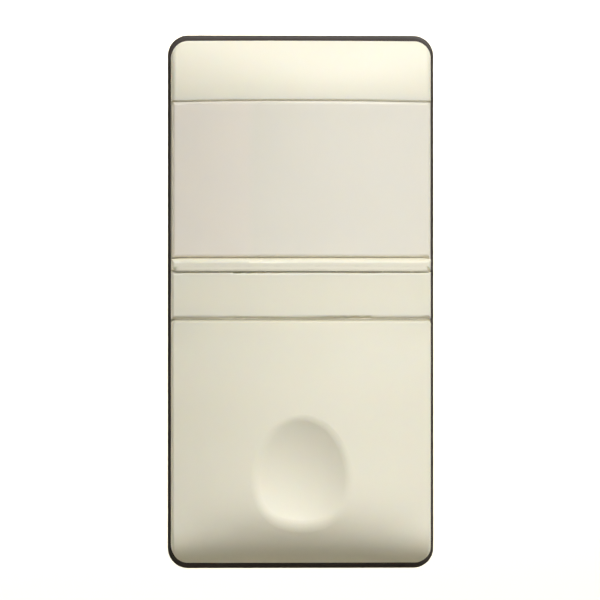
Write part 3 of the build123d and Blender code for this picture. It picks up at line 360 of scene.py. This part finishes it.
def laminate(name, half_width, half_height):
    """Solder-resisted laminate with tracks of real widths, plated holes and sawn edges."""
    finish = grained(name, "1E5A3C", "225F41", 5, 0.12, 0.006, Roughness=0.38, IOR=1.55)
    tree = finish.node_tree
    shader = tree.nodes["Principled BSDF"]
    place = add_node(tree, "TexCoord").outputs["Object"]
    axes = add_node(tree, "SeparateXYZ", (), (), {"Vector": place}).outputs
    plane = add_node(tree, "CombineXYZ", (), (), {"X": axes["X"], "Y": axes["Z"]})
    nearest, second = (
        add_node(
            tree,
            "TexVoronoi",
            {"voronoi_dimensions": "2D", "feature": feature, "distance": "CHEBYCHEV"},
            {"Scale": 1 / track_spacing, "Randomness": 0.85},
            {"Vector": plane.outputs["Vector"]},
        ).outputs["Distance"]
        for feature in ("F1", "F2")
    )
    # A track runs where two cells meet, and a plated hole stands in the middle of each cell.
    between = add_node(tree, "Math", {"operation": "SUBTRACT"})
    tree.links.new(second, between.inputs[0])
    tree.links.new(nearest, between.inputs[1])
    track = add_node(tree, "Math", {"operation": "LESS_THAN"})
    tree.links.new(between.outputs["Value"], track.inputs[0])
    track.inputs[1].default_value = track_width / track_spacing
    hole = add_node(tree, "Math", {"operation": "LESS_THAN"})
    tree.links.new(nearest, hole.inputs[0])
    hole.inputs[1].default_value = hole_radius / track_spacing
    copper = add_node(tree, "Math", {"operation": "MAXIMUM"})
    tree.links.new(track.outputs["Value"], copper.inputs[0])
    tree.links.new(hole.outputs["Value"], copper.inputs[1])
    shade = add_node(
        tree,
        "Mix",
        {"data_type": "RGBA"},
        {"B": srgb("317C50")},
        {"Factor": copper.outputs["Value"], "A": tree.nodes["tint"].outputs["Result"]},
    )
    edge = None
    for axis, half in (("X", half_width), ("Z", half_height)):
        reach = add_node(tree, "Math", {"operation": "ABSOLUTE"}, (), {"Value": axes[axis]})
        past = add_node(
            tree, "Math", {"operation": "GREATER_THAN"}, (), {"Value": reach.outputs["Value"]}
        )
        past.inputs[1].default_value = half - sawn_skin
        if edge is None:
            edge = past
        else:
            both = add_node(tree, "Math", {"operation": "MAXIMUM"})
            tree.links.new(edge.outputs["Value"], both.inputs[0])
            tree.links.new(past.outputs["Value"], both.inputs[1])
            edge = both
    sawn = add_node(
        tree,
        "Mix",
        {"data_type": "RGBA"},
        {"B": srgb("B7A36A")},
        {"Factor": edge.outputs["Value"], "A": shade.outputs["Result"]},
    )
    tree.links.new(sawn.outputs["Result"], shader.inputs["Base Color"])
    return finish


board_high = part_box("power_board")[1]
dress(laminate("power_board_laminate", board_high.x, board_high.z), "power_board")

tin_solder = grained(
    "tin_solder", "C9CBCB", "B2B5B6", 0.8, 0.12, 0.006, Metallic=1.0, Roughness=0.27
)
# Radius and height in mm: a concave cone that wets the pad and climbs the clipped lead.
joint_outline = (
    (0, 0), (0.85, 0), (0.8, 0.05), (0.58, 0.14), (0.42, 0.34), (0.36, 0.6),
    (0.3, 0.78), (0.16, 0.86), (0, 0.88),
)


def joints(name, places, depth, share=1.0):
    """Solder joints that stand on the back of a board, one at each (x, z) in mm."""
    master = bmesh.new()
    turned(master, [(r * share * mm, h * share * mm) for r, h in joint_outline], steps=14)
    backwards = Matrix.Rotation(-math.pi / 2, 3, "X")
    bmesh.ops.rotate(master, cent=(0, 0, 0), matrix=backwards, verts=master.verts)
    cone = bpy.data.meshes.new("joint")
    master.to_mesh(cone)
    master.free()
    form = bmesh.new()
    for x, z in places:
        before = set(form.verts)
        form.from_mesh(cone)
        bmesh.ops.translate(
            form,
            vec=(x * mm, depth, z * mm),
            verts=[vert for vert in form.verts if vert not in before],
        )
    bpy.data.meshes.remove(cone)
    seat(name, form, tin_solder, "housing")


# Where the power parts' leads come through, as (x, z) in mm.
power_lead_places = (
    (-8.0, -1.0), (-1.8, -1.0), (-4.9, 5.6), (5.1, -0.2), (5.2, -5.9), (-7.6, -4.9), (-3.6, -5.0),
)
joints("power_board_joints", power_lead_places, board_high.y)

# What stands on the power board
# Relay in a ribbed blue polyester case on a wider foot, boxed film capacitor, sleeved
# electrolytic can with a scored vent, dipped varistor, moulded fuse and lacquered resistor.
# Moulded cases look satin, and what is dipped, shrunk or lacquered looks wet.
relay_blue = grained(
    "moulded_polyester", "1E4C86", "245590", 6, 0.25, 0.008, Roughness=0.42, IOR=1.57
)
dress(relay_blue, "relay")
film_yellow = grained(
    "potted_polypropylene_box", "D9A632", "CE9B2A", 5, 0.3, 0.008, Roughness=0.4, IOR=1.5
)
dress(film_yellow, "x2_capacitor")
varistor_blue = grained(
    "dipped_epoxy", "1F55A5", "1A4B98", 2, 0.9, 0.05, Roughness=0.22, IOR=1.55
)
dress(varistor_blue, "varistor")
black_epoxy = grained(
    "moulded_black_epoxy", "131314", "1A1A1B", 4, 0.12, 0.008, Roughness=0.48, IOR=1.56
)
dress(black_epoxy, "fuse")

relay_foot = 1.5 * mm
foot_swell = 0.12 * mm
foot_clearance = 0.25 * mm
foot_round = 0.3 * mm
rib_shares = (0.2, 0.4, 0.6, 0.8)
rib_half = 0.3 * mm
rib_rise = 0.1 * mm
rib_round = 0.09 * mm
rib_top_gap = 1.2 * mm
rib_foot_gap = 0.6 * mm
low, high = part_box("relay")
form = bmesh.new()
block(
    form,
    (low.x - foot_swell, high.y - relay_foot, low.z - foot_swell),
    (high.x + foot_swell, high.y - foot_clearance, high.z + foot_swell),
    foot_round,
)
for share in rib_shares:
    at = low.z + share * (high.z - low.z)
    block(
        form,
        (low.x - rib_rise, low.y + rib_top_gap, at - rib_half),
        (high.x + rib_rise, high.y - relay_foot - rib_foot_gap, at + rib_half),
        rib_round,
    )
seat("relay_foot_and_ribs", form, relay_blue, "housing")

low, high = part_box("smoothing_capacitor")
can_axis = (low + high) / 2
can_half = (high.x - low.x) / 2
stripe_share = 0.82
sleeve = grained(
    "heat_shrunk_sleeve", "17233F", "1A2848", 4, 0.4, 0.01, Roughness=0.25, IOR=1.54
)
tree = sleeve.node_tree
shader = tree.nodes["Principled BSDF"]
place = add_node(tree, "TexCoord").outputs["Object"]
to_axis = (-can_axis.x, 0, -can_axis.z)
centred = add_node(tree, "Mapping", (), {"Location": to_axis}, {"Vector": place})
axes = add_node(tree, "SeparateXYZ", (), (), {"Vector": centred.outputs["Vector"]}).outputs
# The printed stripe that marks the negative lead runs down one side of the sleeve.
stripe = add_node(tree, "Math", {"operation": "GREATER_THAN"}, (), {"Value": axes["X"]})
stripe.inputs[1].default_value = stripe_share * can_half
striped = add_node(
    tree,
    "Mix",
    {"data_type": "RGBA"},
    {"B": srgb("9FB4C8")},
    {"Factor": stripe.outputs["Value"], "A": tree.nodes["tint"].outputs["Result"]},
)
tree.links.new(striped.outputs["Result"], shader.inputs["Base Color"])
dress(sleeve, "smoothing_capacitor")

pressed_aluminium = grained(
    "pressed_aluminium", "D4D6D6", "C6C9CA", 1.5, 0.08, 0.003, Metallic=1.0, Roughness=0.36
)
vent_radius = 3.1 * mm
vent_middle = 0.3 * mm
vent_rise = 0.08 * mm
vent_gap = math.radians(5)
# The lid's quarters, from radius and height, with the scored cross left open between them.
lid_outline = (
    (vent_middle, 0), (vent_radius, 0),
    (vent_radius - vent_rise, -vent_rise), (vent_middle + vent_rise, -vent_rise),
)
form = bmesh.new()
for quarter in range(4):
    start = quarter * math.pi / 2 + vent_gap / 2
    out = Vector((math.cos(start), 0, -math.sin(start)))
    corners = [
        form.verts.new(Vector((can_axis.x, low.y + y, can_axis.z)) + r * out)
        for r, y in lid_outline
    ]
    bmesh.ops.spin(
        form,
        geom=[form.faces.new(corners)],
        cent=(can_axis.x, 0, can_axis.z),
        axis=(0, 1, 0),
        angle=math.pi / 2 - vent_gap,
        steps=8,
    )
bmesh.ops.remove_doubles(form, verts=form.verts, dist=weld)
bmesh.ops.recalc_face_normals(form, faces=form.faces)
seat("capacitor_vent", form, pressed_aluminium, "housing")

ring_half = 0.32 * mm
wire_start = 4.78 * mm
lacquer = grained("lacquered_ceramic", "7FA0AE", "8AAAB6", 2, 0.2, 0.006, Roughness=0.3, IOR=1.5)
tree = lacquer.node_tree
shader = tree.nodes["Principled BSDF"]
place = add_node(tree, "TexCoord").outputs["Object"]
along = add_node(tree, "SeparateXYZ", (), (), {"Vector": place}).outputs["X"]
# Four painted rings, here by their middles in mm, give the value, and past the body's ends
# come the tinned wires.
shade = tree.nodes["tint"].outputs["Result"]
rings = ((-3.1, "3A2417"), (-1.7, "14110F"), (-0.3, "C9A227"), (2.7, "B8892B"))
for middle, colour in rings:
    away = add_node(tree, "Math", {"operation": "SUBTRACT"}, (), {"Value": along})
    away.inputs[1].default_value = middle * mm
    reach = add_node(
        tree, "Math", {"operation": "ABSOLUTE"}, (), {"Value": away.outputs["Value"]}
    )
    within = add_node(
        tree, "Math", {"operation": "LESS_THAN"}, (), {"Value": reach.outputs["Value"]}
    )
    within.inputs[1].default_value = ring_half
    shade = add_node(
        tree,
        "Mix",
        {"data_type": "RGBA"},
        {"B": srgb(colour)},
        {"Factor": within.outputs["Value"], "A": shade},
    ).outputs["Result"]
reach = add_node(tree, "Math", {"operation": "ABSOLUTE"}, (), {"Value": along})
wire = add_node(tree, "Math", {"operation": "GREATER_THAN"}, (), {"Value": reach.outputs["Value"]})
wire.inputs[1].default_value = wire_start
shade = add_node(
    tree,
    "Mix",
    {"data_type": "RGBA"},
    {"B": srgb("C4C6C7")},
    {"Factor": wire.outputs["Value"], "A": shade},
).outputs["Result"]
tree.links.new(shade, shader.inputs["Base Color"])
tree.links.new(wire.outputs["Value"], shader.inputs["Metallic"])
dress(lacquer, "dropper_resistor")

# Board link
# A pin header on the sensor board and its socket on the power board, moulded in black
# nylon, with six square pins of gold-flashed brass.
gold_flash = grained(
    "gold_flashed_brass", "E0BE72", "D6B265", 2, 0.05, 0.002, Metallic=1.0, Roughness=0.25
)
dress(black_nylon, "board_link_header", "board_link_socket")
dress(gold_flash, "board_link_pins")

# Sensor board and the small parts on its back
# The same green laminate, with a gull-winged controller, and chip resistors and capacitors
# that hold on by bright tinned ends.
board_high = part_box("sensor_board")[1]
board_back = board_high.y
dress(laminate("sensor_board_laminate", board_high.x, board_high.z), "sensor_board")
dress(black_epoxy, "controller_chip", "push_switch_body")

lead_pitch = 1.27 * mm
lead_half = 0.21 * mm
lead_thick = 0.18 * mm
# Each of the seven leads a side goes out of the chip and down, by reach and rise in mm.
lead_line = ((-0.2, 0.7), (0.3, 0.7), (0.42, 0.62), (0.55, 0.14), (0.67, 0.06), (1.15, 0.06))
low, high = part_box("controller_chip")
form = bmesh.new()
for end, start in ((1, high.z), (-1, low.z)):
    for count in range(-3, 4):
        middle = count * lead_pitch
        strip = [
            form.verts.new((middle - lead_half, board_back + rise * mm, start + end * out * mm))
            for out, rise in lead_line
        ]
        edges = [form.edges.new(pair) for pair in zip(strip, strip[1:])]
        wide = bmesh.ops.extrude_edge_only(form, edges=edges)["geom"]
        bmesh.ops.translate(
            form,
            vec=(2 * lead_half, 0, 0),
            verts=[item for item in wide if isinstance(item, bmesh.types.BMVert)],
        )
bmesh.ops.recalc_face_normals(form, faces=form.faces)
bmesh.ops.solidify(form, geom=form.faces[:], thickness=lead_thick)
seat("chip_leads", form, tin_solder, "housing")

mark_radius = 0.42 * mm
mark_rise = 0.02 * mm
mark_inset = 0.9 * mm
dot = bmesh.new()
turned(dot, ((0, 0), (mark_radius, 0), (mark_radius, mark_rise), (0, mark_rise)), steps=20)
bmesh.ops.transform(
    dot,
    matrix=Matrix.Translation((low.x + mark_inset, high.y, low.z + mark_inset))
    @ Matrix.Rotation(-math.pi / 2, 4, "X"),
    verts=dot.verts,
)
white_ink = grained("printed_white_ink", "D9DAD6", "CFD0CC", 1.5, 0.1, 0.003, Roughness=0.6)
seat("chip_first_pin_mark", dot, white_ink, "housing")

half_across, half_along = 1.0 * mm, 0.6 * mm
resistor_rise, capacitor_rise = 0.5 * mm, 0.85 * mm
chip_round = 0.05 * mm
body_inset = 0.22 * mm
end_reach = 0.12 * mm
end_wrap = 0.32 * mm
end_round = 0.1 * mm
end_side_skin, end_top_skin = 0.04 * mm, 0.03 * mm
# Where the chip parts lie, as (x, z) in mm.
resistor_places = (
    (-7.6, 14.6), (-7.6, 12.6), (-7.6, 10.6), (7.6, 14.6), (7.6, 12.6), (-7.2, 3.0), (-7.2, 5.0),
    (-6.0, -3.0), (-6.0, -5.0), (-3.0, -4.0), (3.4, -4.0), (6.4, -6.2), (6.4, -8.2),
)
capacitor_places = ((7.6, 10.4), (-7.2, 0.6), (-3.0, -2.0), (3.4, -2.0), (-6.6, -9.0), (5.6, -12.0))
ceramic_tan = grained("sintered_ceramic", "9A7B5A", "A88964", 1.2, 0.1, 0.006, Roughness=0.5)
bodies_form, caps_form, ends_form = bmesh.new(), bmesh.new(), bmesh.new()
for places, target, rise in (
    (resistor_places, bodies_form, resistor_rise), (capacitor_places, caps_form, capacitor_rise),
):
    for across, along in places:
        x, z = across * mm, along * mm
        block(
            target,
            (x - half_across + body_inset, board_back + end_top_skin, z - half_along),
            (x + half_across - body_inset, board_back + rise, z + half_along),
            chip_round,
        )
        for side in (-1, 1):
            ends = sorted(
                (x + side * (half_across + end_reach), x + side * (half_across - end_wrap))
            )
            block(
                ends_form,
                (ends[0], board_back, z - half_along - end_side_skin),
                (ends[1], board_back + rise + end_top_skin, z + half_along + end_side_skin),
                end_round,
            )
seat("chip_resistors", bodies_form, black_epoxy, "housing")
seat("chip_capacitors", caps_form, ceramic_tan, "housing")
seat("chip_part_ends", ends_form, tin_solder, "housing")

# Where leads come through this board, as (x, z) in mm.
sensor_lead_places = (
    (1.8, 14.4), (-1.8, 14.4), (1.8, 10.8), (-6.87, 7.6), (6.87, 7.6), (-7.6, -1.2),
    (7.6, -1.2), (7.6, 1.8), (-2.4, -11.6), (2.4, -11.6), (-2.4, -6.4), (2.4, -6.4),
)
joints("sensor_board_joints", sensor_lead_places, board_back, share=0.7)

# Infrared sensor, lamp and light cell
# A welded can of tinned steel sheet with a coated silicon window, a red lamp cast in clear
# tinted epoxy, and a light cell cast in clear epoxy over its grey chip.
tinned_sheet = grained(
    "tinned_steel_sheet", "C7C8C8", "B9BBBC", 3, 0.08, 0.004, Metallic=1.0, Roughness=0.28
)
dress(tinned_sheet, "pir_can")
coated_silicon = grained(
    "coated_silicon", "2A1F33", "3A2230", 2.5, 0.3, 0.001, Metallic=0.6, Roughness=0.12
)
dress(coated_silicon, "pir_window")
red_resin = grained(
    "tinted_clear_epoxy", "C2231B", "B01C16", 2, 0.4, 0.002,
    Roughness=0.08, IOR=1.54, Transmission_Weight=0.45, Coat_Weight=0.3,
)
dress(red_resin, "status_led")
cell_resin = grained(
    "clear_epoxy", "A9A59C", "8F8B86", 1.4, 0.4, 0.002,
    Roughness=0.1, IOR=1.54, Transmission_Weight=0.35, Coat_Weight=0.3,
)
dress(cell_resin, "photocell")

# Trimmers
# Blue moulded nylon bodies, soldered to the sensor board, and slotted rotors turned from
# white acetal, which a small screwdriver sets.
trimmer_blue = grained("moulded_blue_nylon", "2A4F94", "31589E", 4, 0.2, 0.006, Roughness=0.45)
dress(trimmer_blue, "time_trimmer_body", "lux_trimmer_body")
acetal = grained(
    "turned_white_acetal", "E9E8E1", "E1E0D8", 3, 0.15, 0.003, Roughness=0.36, IOR=1.48
)
dress(acetal, "time_trimmer_rotor", "lux_trimmer_rotor")

# Printed dials
# Seven white strokes round each rotor, with a minus and a plus at the ends of its turn,
# pad-printed on the black chassis behind the adjuster cover.
ink_rise = 0.03 * mm
plate_front = -2.8 * mm
stroke_near = 2.62 * mm
stroke_far = 3.15 * mm
stroke_half = 0.09 * mm
stroke_round = 0.015 * mm
stroke_turn = math.radians(45)
sign_reach = 3.5 * mm
sign_half = 0.28 * mm
sign_turn = math.radians(158)
strokes = bmesh.new()
for rotor in ("time_trimmer_rotor", "lux_trimmer_rotor"):
    low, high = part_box(rotor)
    hub = (low + high) / 2
    for step in range(-3, 4):
        before = set(strokes.verts)
        block(
            strokes,
            (-stroke_half, plate_front - ink_rise, stroke_near),
            (stroke_half, plate_front + ink_rise, stroke_far),
            stroke_round,
        )
        bmesh.ops.transform(
            strokes,
            matrix=Matrix.Translation((hub.x, 0, hub.z))
            @ Matrix.Rotation(step * stroke_turn, 4, "Y"),
            verts=[vert for vert in strokes.verts if vert not in before],
        )
    level, upright = (sign_half, stroke_half), (stroke_half, sign_half)
    for side, bars in ((-1, [level]), (1, [level, upright])):
        x = hub.x + sign_reach * math.sin(side * sign_turn)
        z = hub.z + sign_reach * math.cos(side * sign_turn)
        for wide, tall in bars:
            block(
                strokes,
                (x - wide, plate_front - ink_rise, z - tall),
                (x + wide, plate_front + ink_rise, z + tall),
                stroke_round,
            )
seat("printed_dials", strokes, white_ink, "housing")

# Sensor carrier, its screws and the key's springs
# The black nylon chassis behind the front and the push switch's black nylon plunger, four
# plated screws, and two rolled bronze leaves.
dress(black_nylon, "sensor_carrier", "push_switch_plunger")
dress(zinc_plate, "carrier_screws")
bronze_strip = grained(
    "rolled_phosphor_bronze", "C78F60", "B98152", 2.5, 0.05, 0.003, (6, 1, 1),
    Metallic=1.0, Roughness=0.3,
)
dress(bronze_strip, "key_springs")

# Front bezel, adjuster cover and key
# Ivory ABS from smooth moulds, in one colour for the whole front: creamy and satin, and a
# little light goes into it, which softens its edges. Its upper edges under the seams carry painted
# shade: a brown that damps the light their rounds catch.
ivory_abs = grained(
    "polished_ivory_abs", "EFEBD9", "EDE8D5", 9, 0.25, 0.002,
    Roughness=0.56, IOR=1.53, Subsurface_Weight=0.3, Subsurface_Scale=1.5 * mm,
)
shader = ivory_abs.node_tree.nodes["Principled BSDF"]
shader.inputs["Subsurface Radius"].default_value = (1, 0.75, 0.4)

lens_low, lens_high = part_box("fresnel_lens")
cover_low, cover_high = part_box("adjuster_cover")
key_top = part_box("override_key")[1].z
seam = cover_low.z - key_top
cap_bottom = lens_high.z + seam
bead_top = lens_low.z - seam
bead_bottom = cover_high.z + seam
edge_reach = 0.34 * mm
edge_slack = 0.03 * mm


def paint_seam_shade(finish, edge, shade, share):
    """Paints shade on a moulding's upper edge, at this height: a brown that darkens it towards the
    seam.
    """
    tree = finish.node_tree
    socket = tree.nodes["Principled BSDF"].inputs["Base Color"]
    place = add_node(tree, "TexCoord").outputs["Object"]
    height = add_node(tree, "SeparateXYZ", (), (), {"Vector": place}).outputs["Z"]
    rise = add_node(
        tree,
        "MapRange",
        (),
        {"From Min": edge - edge_reach, "From Max": edge, "To Max": share},
        {"Value": height},
    )
    below = add_node(tree, "Math", {"operation": "LESS_THAN"}, (), {"Value": height})
    below.inputs[1].default_value = edge + edge_slack
    near = add_node(tree, "Math", {"operation": "MULTIPLY"})
    tree.links.new(rise.outputs["Result"], near.inputs[0])
    tree.links.new(below.outputs["Value"], near.inputs[1])
    seam_shade_painted = add_node(
        tree,
        "Mix",
        {"data_type": "RGBA"},
        {"B": srgb(shade)},
        {"Factor": near.outputs["Value"], "A": socket.links[0].from_socket},
    )
    tree.links.new(seam_shade_painted.outputs["Result"], socket)


# Painted shade on the upper edges of the cover, the key and the bead, darker towards each seam
# above them.
paint_seam_shade(ivory_abs, cover_high.z, "B0A585", 0.2)
paint_seam_shade(ivory_abs, key_top, "A89E80", 0.7)
paint_seam_shade(ivory_abs, bead_top, "C9BF9F", 0.5)
dress(ivory_abs, "front_bezel", "adjuster_cover", "override_key")

# Seam lips
# The photograph's seams are olive and not black: an ivory lip stands close behind each, so
# what shows in the gap is ivory in shade. Three are moulded on the bezel's edges, and one on
# the cover's foot.
lip_height = 0.12 * mm
lip_width = 0.48 * mm
lip_half = 11.88 * mm
lip_end_round = 0.4 * mm
lip_edge = 0.03 * mm
lip_steps = 40
arch_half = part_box("front_bezel")[1].x
rim_depth = -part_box("rear_housing")[0].y

# Light that wanders into a thin strip would leave by its back, so its finish keeps it out.
lip_abs = ivory_abs.copy()
lip_abs.name = "ivory_abs_in_thin_strips"
lip_abs.node_tree.nodes["Principled BSDF"].inputs["Subsurface Weight"].default_value = 0.0


def seam_lip(name, body, root, way, rises, sunk, height=lip_height):
    """Sweeps a lip along a crowned face, from an edge at height root, and up or down by way.

    The face stands above the rim by its two rises, at the middle and at the sides.
    """
    middle, side = (rim_depth + rise for rise in rises)
    arch = (arch_half**2 + (middle - side) ** 2) / (2 * (middle - side))
    stations = []
    for step in range(lip_steps + 1):
        x = -lip_half * math.cos(math.pi * step / lip_steps)
        past = max(abs(x) - lip_half + lip_end_round, 0)
        drop = lip_end_round - math.sqrt(lip_end_round**2 - past**2)
        face = middle - arch + math.sqrt(arch**2 - x**2)
        stations.append(Vector((x, sunk + drop - face, 0)))
    tip = root + way * height
    outline = (
        (0, root - way * lip_edge),
        (0, tip - way * lip_edge),
        (lip_edge, tip),
        (lip_width, tip),
        (lip_width, root - way * lip_edge),
    )
    form = bmesh.new()
    section = form.faces.new(
        [form.verts.new(stations[0] + Vector((0, y, z))) for y, z in outline]
    )
    for here, there in zip(stations, stations[1:]):
        grown = bmesh.ops.extrude_face_region(form, geom=[section, *section.edges])["geom"]
        section = next(item for item in grown if isinstance(item, bmesh.types.BMFace))
        bmesh.ops.translate(form, vec=there - here, verts=section.verts)
    bmesh.ops.recalc_face_normals(form, faces=form.faces)
    seat(name, form, lip_abs, body)


cap_rises, cap_lip_sunk = (5.4 * mm, 3.2 * mm), 0.1 * mm
lens_rises, lens_lip_sunk = (5.6 * mm, 3.3 * mm), 0.3 * mm
bead_rises, bead_lip_sunk = (6.0 * mm, 3.8 * mm), 0.06 * mm
cover_rises, cover_lip_sunk = (5.85 * mm, 3.65 * mm), 0.26 * mm
foot_height, foot_sunk = 0.37 * mm, 0.005 * mm
seam_lip("lip_under_cap", "housing", cap_bottom, -1, cap_rises, cap_lip_sunk)
seam_lip("lip_over_bead", "housing", bead_top, 1, lens_rises, lens_lip_sunk)
seam_lip("lip_under_bead", "housing", bead_bottom, -1, bead_rises, bead_lip_sunk)
# The bead's foot is square in the photograph, so a strip fills the round under its face.
foot_root = bead_bottom + foot_height
seam_lip("bead_foot", "housing", foot_root, -1, bead_rises, foot_sunk, foot_height)
seam_lip("lip_under_cover", "cover", cover_low.z, -1, cover_rises, cover_lip_sunk)

# Lens
# Thin milky polyethylene that lets heat rays through, with a satin face. Its left part is
# painted a trace warmer, as painted shade for the wall of the funnel that stands close behind it.
milky_polyethylene = grained(
    "milky_polyethylene", "EEE9DC", "EBE6D8", 8, 0.3, 0.003,
    Roughness=0.46, IOR=1.51, Subsurface_Weight=0.3, Subsurface_Scale=1.2 * mm,
)
tree = milky_polyethylene.node_tree
shader = tree.nodes["Principled BSDF"]
shader.inputs["Subsurface Radius"].default_value = (1, 0.85, 0.6)
place = add_node(tree, "TexCoord").outputs["Object"]
across = add_node(tree, "SeparateXYZ", (), (), {"Vector": place}).outputs["X"]
warm_as_far_as, plain_from = -5.2 * mm, -4.3 * mm
# Painted shade: the lens is mixed to a warmer tone left of plain_from, full at warm_as_far_as.
painted_shade_share = add_node(
    tree,
    "MapRange",
    (),
    {"From Min": warm_as_far_as, "From Max": plain_from, "To Min": 1.0, "To Max": 0.0},
    {"Value": across},
)
painted_shade_left = add_node(
    tree,
    "Mix",
    {"data_type": "RGBA"},
    {"B": srgb("F0E8DB")},
    {"Factor": painted_shade_share.outputs["Result"], "A": tree.nodes["tint"].outputs["Result"]},
)
tree.links.new(painted_shade_left.outputs["Result"], shader.inputs["Base Color"])
# Painted shade on the lens's upper edge, darker towards the seam under the cap.
paint_seam_shade(milky_polyethylene, lens_high.z, "B9B09A", 0.55)
dress(milky_polyethylene, "fresnel_lens")

# Studio
# A grey paper sweep under and behind the part, soft light from the horizon all round, a
# large lamp above to the right of the camera, a strip overhead, one lamp that whitens the
# backdrop, and one over the floor far in front, for the views from behind.
scene.view_settings.view_transform = "Standard"

floor_z = -300 * mm
sweep_y = 450 * mm
sweep_radius = 150 * mm
sweep_top = 1300 * mm
sweep_half = 3000 * mm
form = bmesh.new()
edge = [form.verts.new((x, -sweep_half, floor_z)) for x in (-sweep_half, sweep_half)]
strip = [form.edges.new(edge)]
run = bmesh.ops.extrude_edge_only(form, edges=strip)
reached = [v for v in run["geom"] if isinstance(v, bmesh.types.BMVert)]
bmesh.ops.translate(form, vec=(0, sweep_half + sweep_y, 0), verts=reached)
strip = [e for e in run["geom"] if isinstance(e, bmesh.types.BMEdge)]
run = bmesh.ops.spin(
    form,
    geom=strip + reached,
    cent=(0, sweep_y, floor_z + sweep_radius),
    axis=(1, 0, 0),
    angle=math.pi / 2,
    steps=16,
)
reached = [v for v in run["geom_last"] if isinstance(v, bmesh.types.BMVert)]
strip = [e for e in run["geom_last"] if isinstance(e, bmesh.types.BMEdge)]
run = bmesh.ops.extrude_edge_only(form, edges=strip)
reached = [v for v in run["geom"] if isinstance(v, bmesh.types.BMVert)]
bmesh.ops.translate(form, vec=(0, 0, sweep_top), verts=reached)
bmesh.ops.recalc_face_normals(form, faces=form.faces)
sweep = bpy.data.objects.new("paper_sweep", bpy.data.meshes.new("paper_sweep"))
form.to_mesh(sweep.data)
form.free()
sweep.data.shade_smooth()
scene.collection.objects.link(sweep)
sweep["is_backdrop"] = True
paper = bpy.data.materials.new("matt_paper")
paper.use_nodes = True
paper_shader = paper.node_tree.nodes["Principled BSDF"]
paper_shader.inputs["Base Color"].default_value = srgb("7E7A6E")
paper_shader.inputs["Roughness"].default_value = 0.9
paper_shader.inputs["Specular IOR Level"].default_value = 0.1
sweep.data.materials.append(paper)

horizon_light = 0.46
zenith_light = 0.25
world = bpy.data.worlds.new("studio")
scene.world = world
world.use_nodes = True
sky = world.node_tree
sky.nodes["Background"].inputs["Color"].default_value = (1, 1, 1, 1)
direction = add_node(sky, "TexCoord").outputs["Generated"]
height = add_node(sky, "SeparateXYZ", links={"Vector": direction}).outputs["Z"]
fade = add_node(
    sky,
    "MapRange",
    sockets={"From Min": 0.0, "From Max": 0.8, "To Min": horizon_light, "To Max": zenith_light},
    links={"Value": height},
)
sky.links.new(fade.outputs["Result"], sky.nodes["Background"].inputs["Strength"])


def lamp(name, place, aim, width, height, beam, power):
    """A rectangular soft lamp that faces aim, in metres and watts, with a beam in degrees."""
    light = bpy.data.lights.new(name, "AREA")
    light.shape = "RECTANGLE"
    light.size = width
    light.size_y = height
    light.spread = math.radians(beam)
    light.energy = power
    holder = bpy.data.objects.new(name, light)
    holder.location = place
    holder.rotation_euler = (Vector(aim) - Vector(place)).to_track_quat("-Z", "Y").to_euler()
    scene.collection.objects.link(holder)


part = (0, 0, 0)
lamp("key_lamp", (0.26, -0.61, 0.51), part, width=0.5, height=0.5, beam=40, power=0.65)
lamp("overhead_strip", (0.05, -0.12, 0.6), part, width=0.5, height=0.12, beam=40, power=0.035)
lamp("backdrop_lamp", (0, 0.15, 0.42), (0, 0.8, 0.24), width=1.2, height=0.3, beam=180, power=62)
lamp("floor_lamp", (0, -1.6, 1.3), (0, -1.6, -0.3), width=3.2, height=1.2, beam=60, power=46)

# Camera
# It stands a few millimetres to the left of the middle, level with the part, at the distance
# that gives the photograph's perspective, and frames the part at the photograph's scale.
camera = bpy.data.objects.new("camera", bpy.data.cameras.new("camera"))
scene.collection.objects.link(camera)
scene.camera = camera
look_at = Vector((-0.03 * mm, 0, 0.17 * mm))
distance = 300 * mm
turn = math.radians(-1.3)
camera.location = look_at + distance * Vector((math.sin(turn), -math.cos(turn), 0))
camera.rotation_euler = (math.pi / 2, 0, turn)
pixels_per_mm = 10.58
image_width = 600
camera.data.sensor_width = 36
camera.data.lens = camera.data.sensor_width * distance / mm * pixels_per_mm / image_width
camera.data.clip_start = 10 * mm
camera.data.clip_end = 5

low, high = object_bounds()
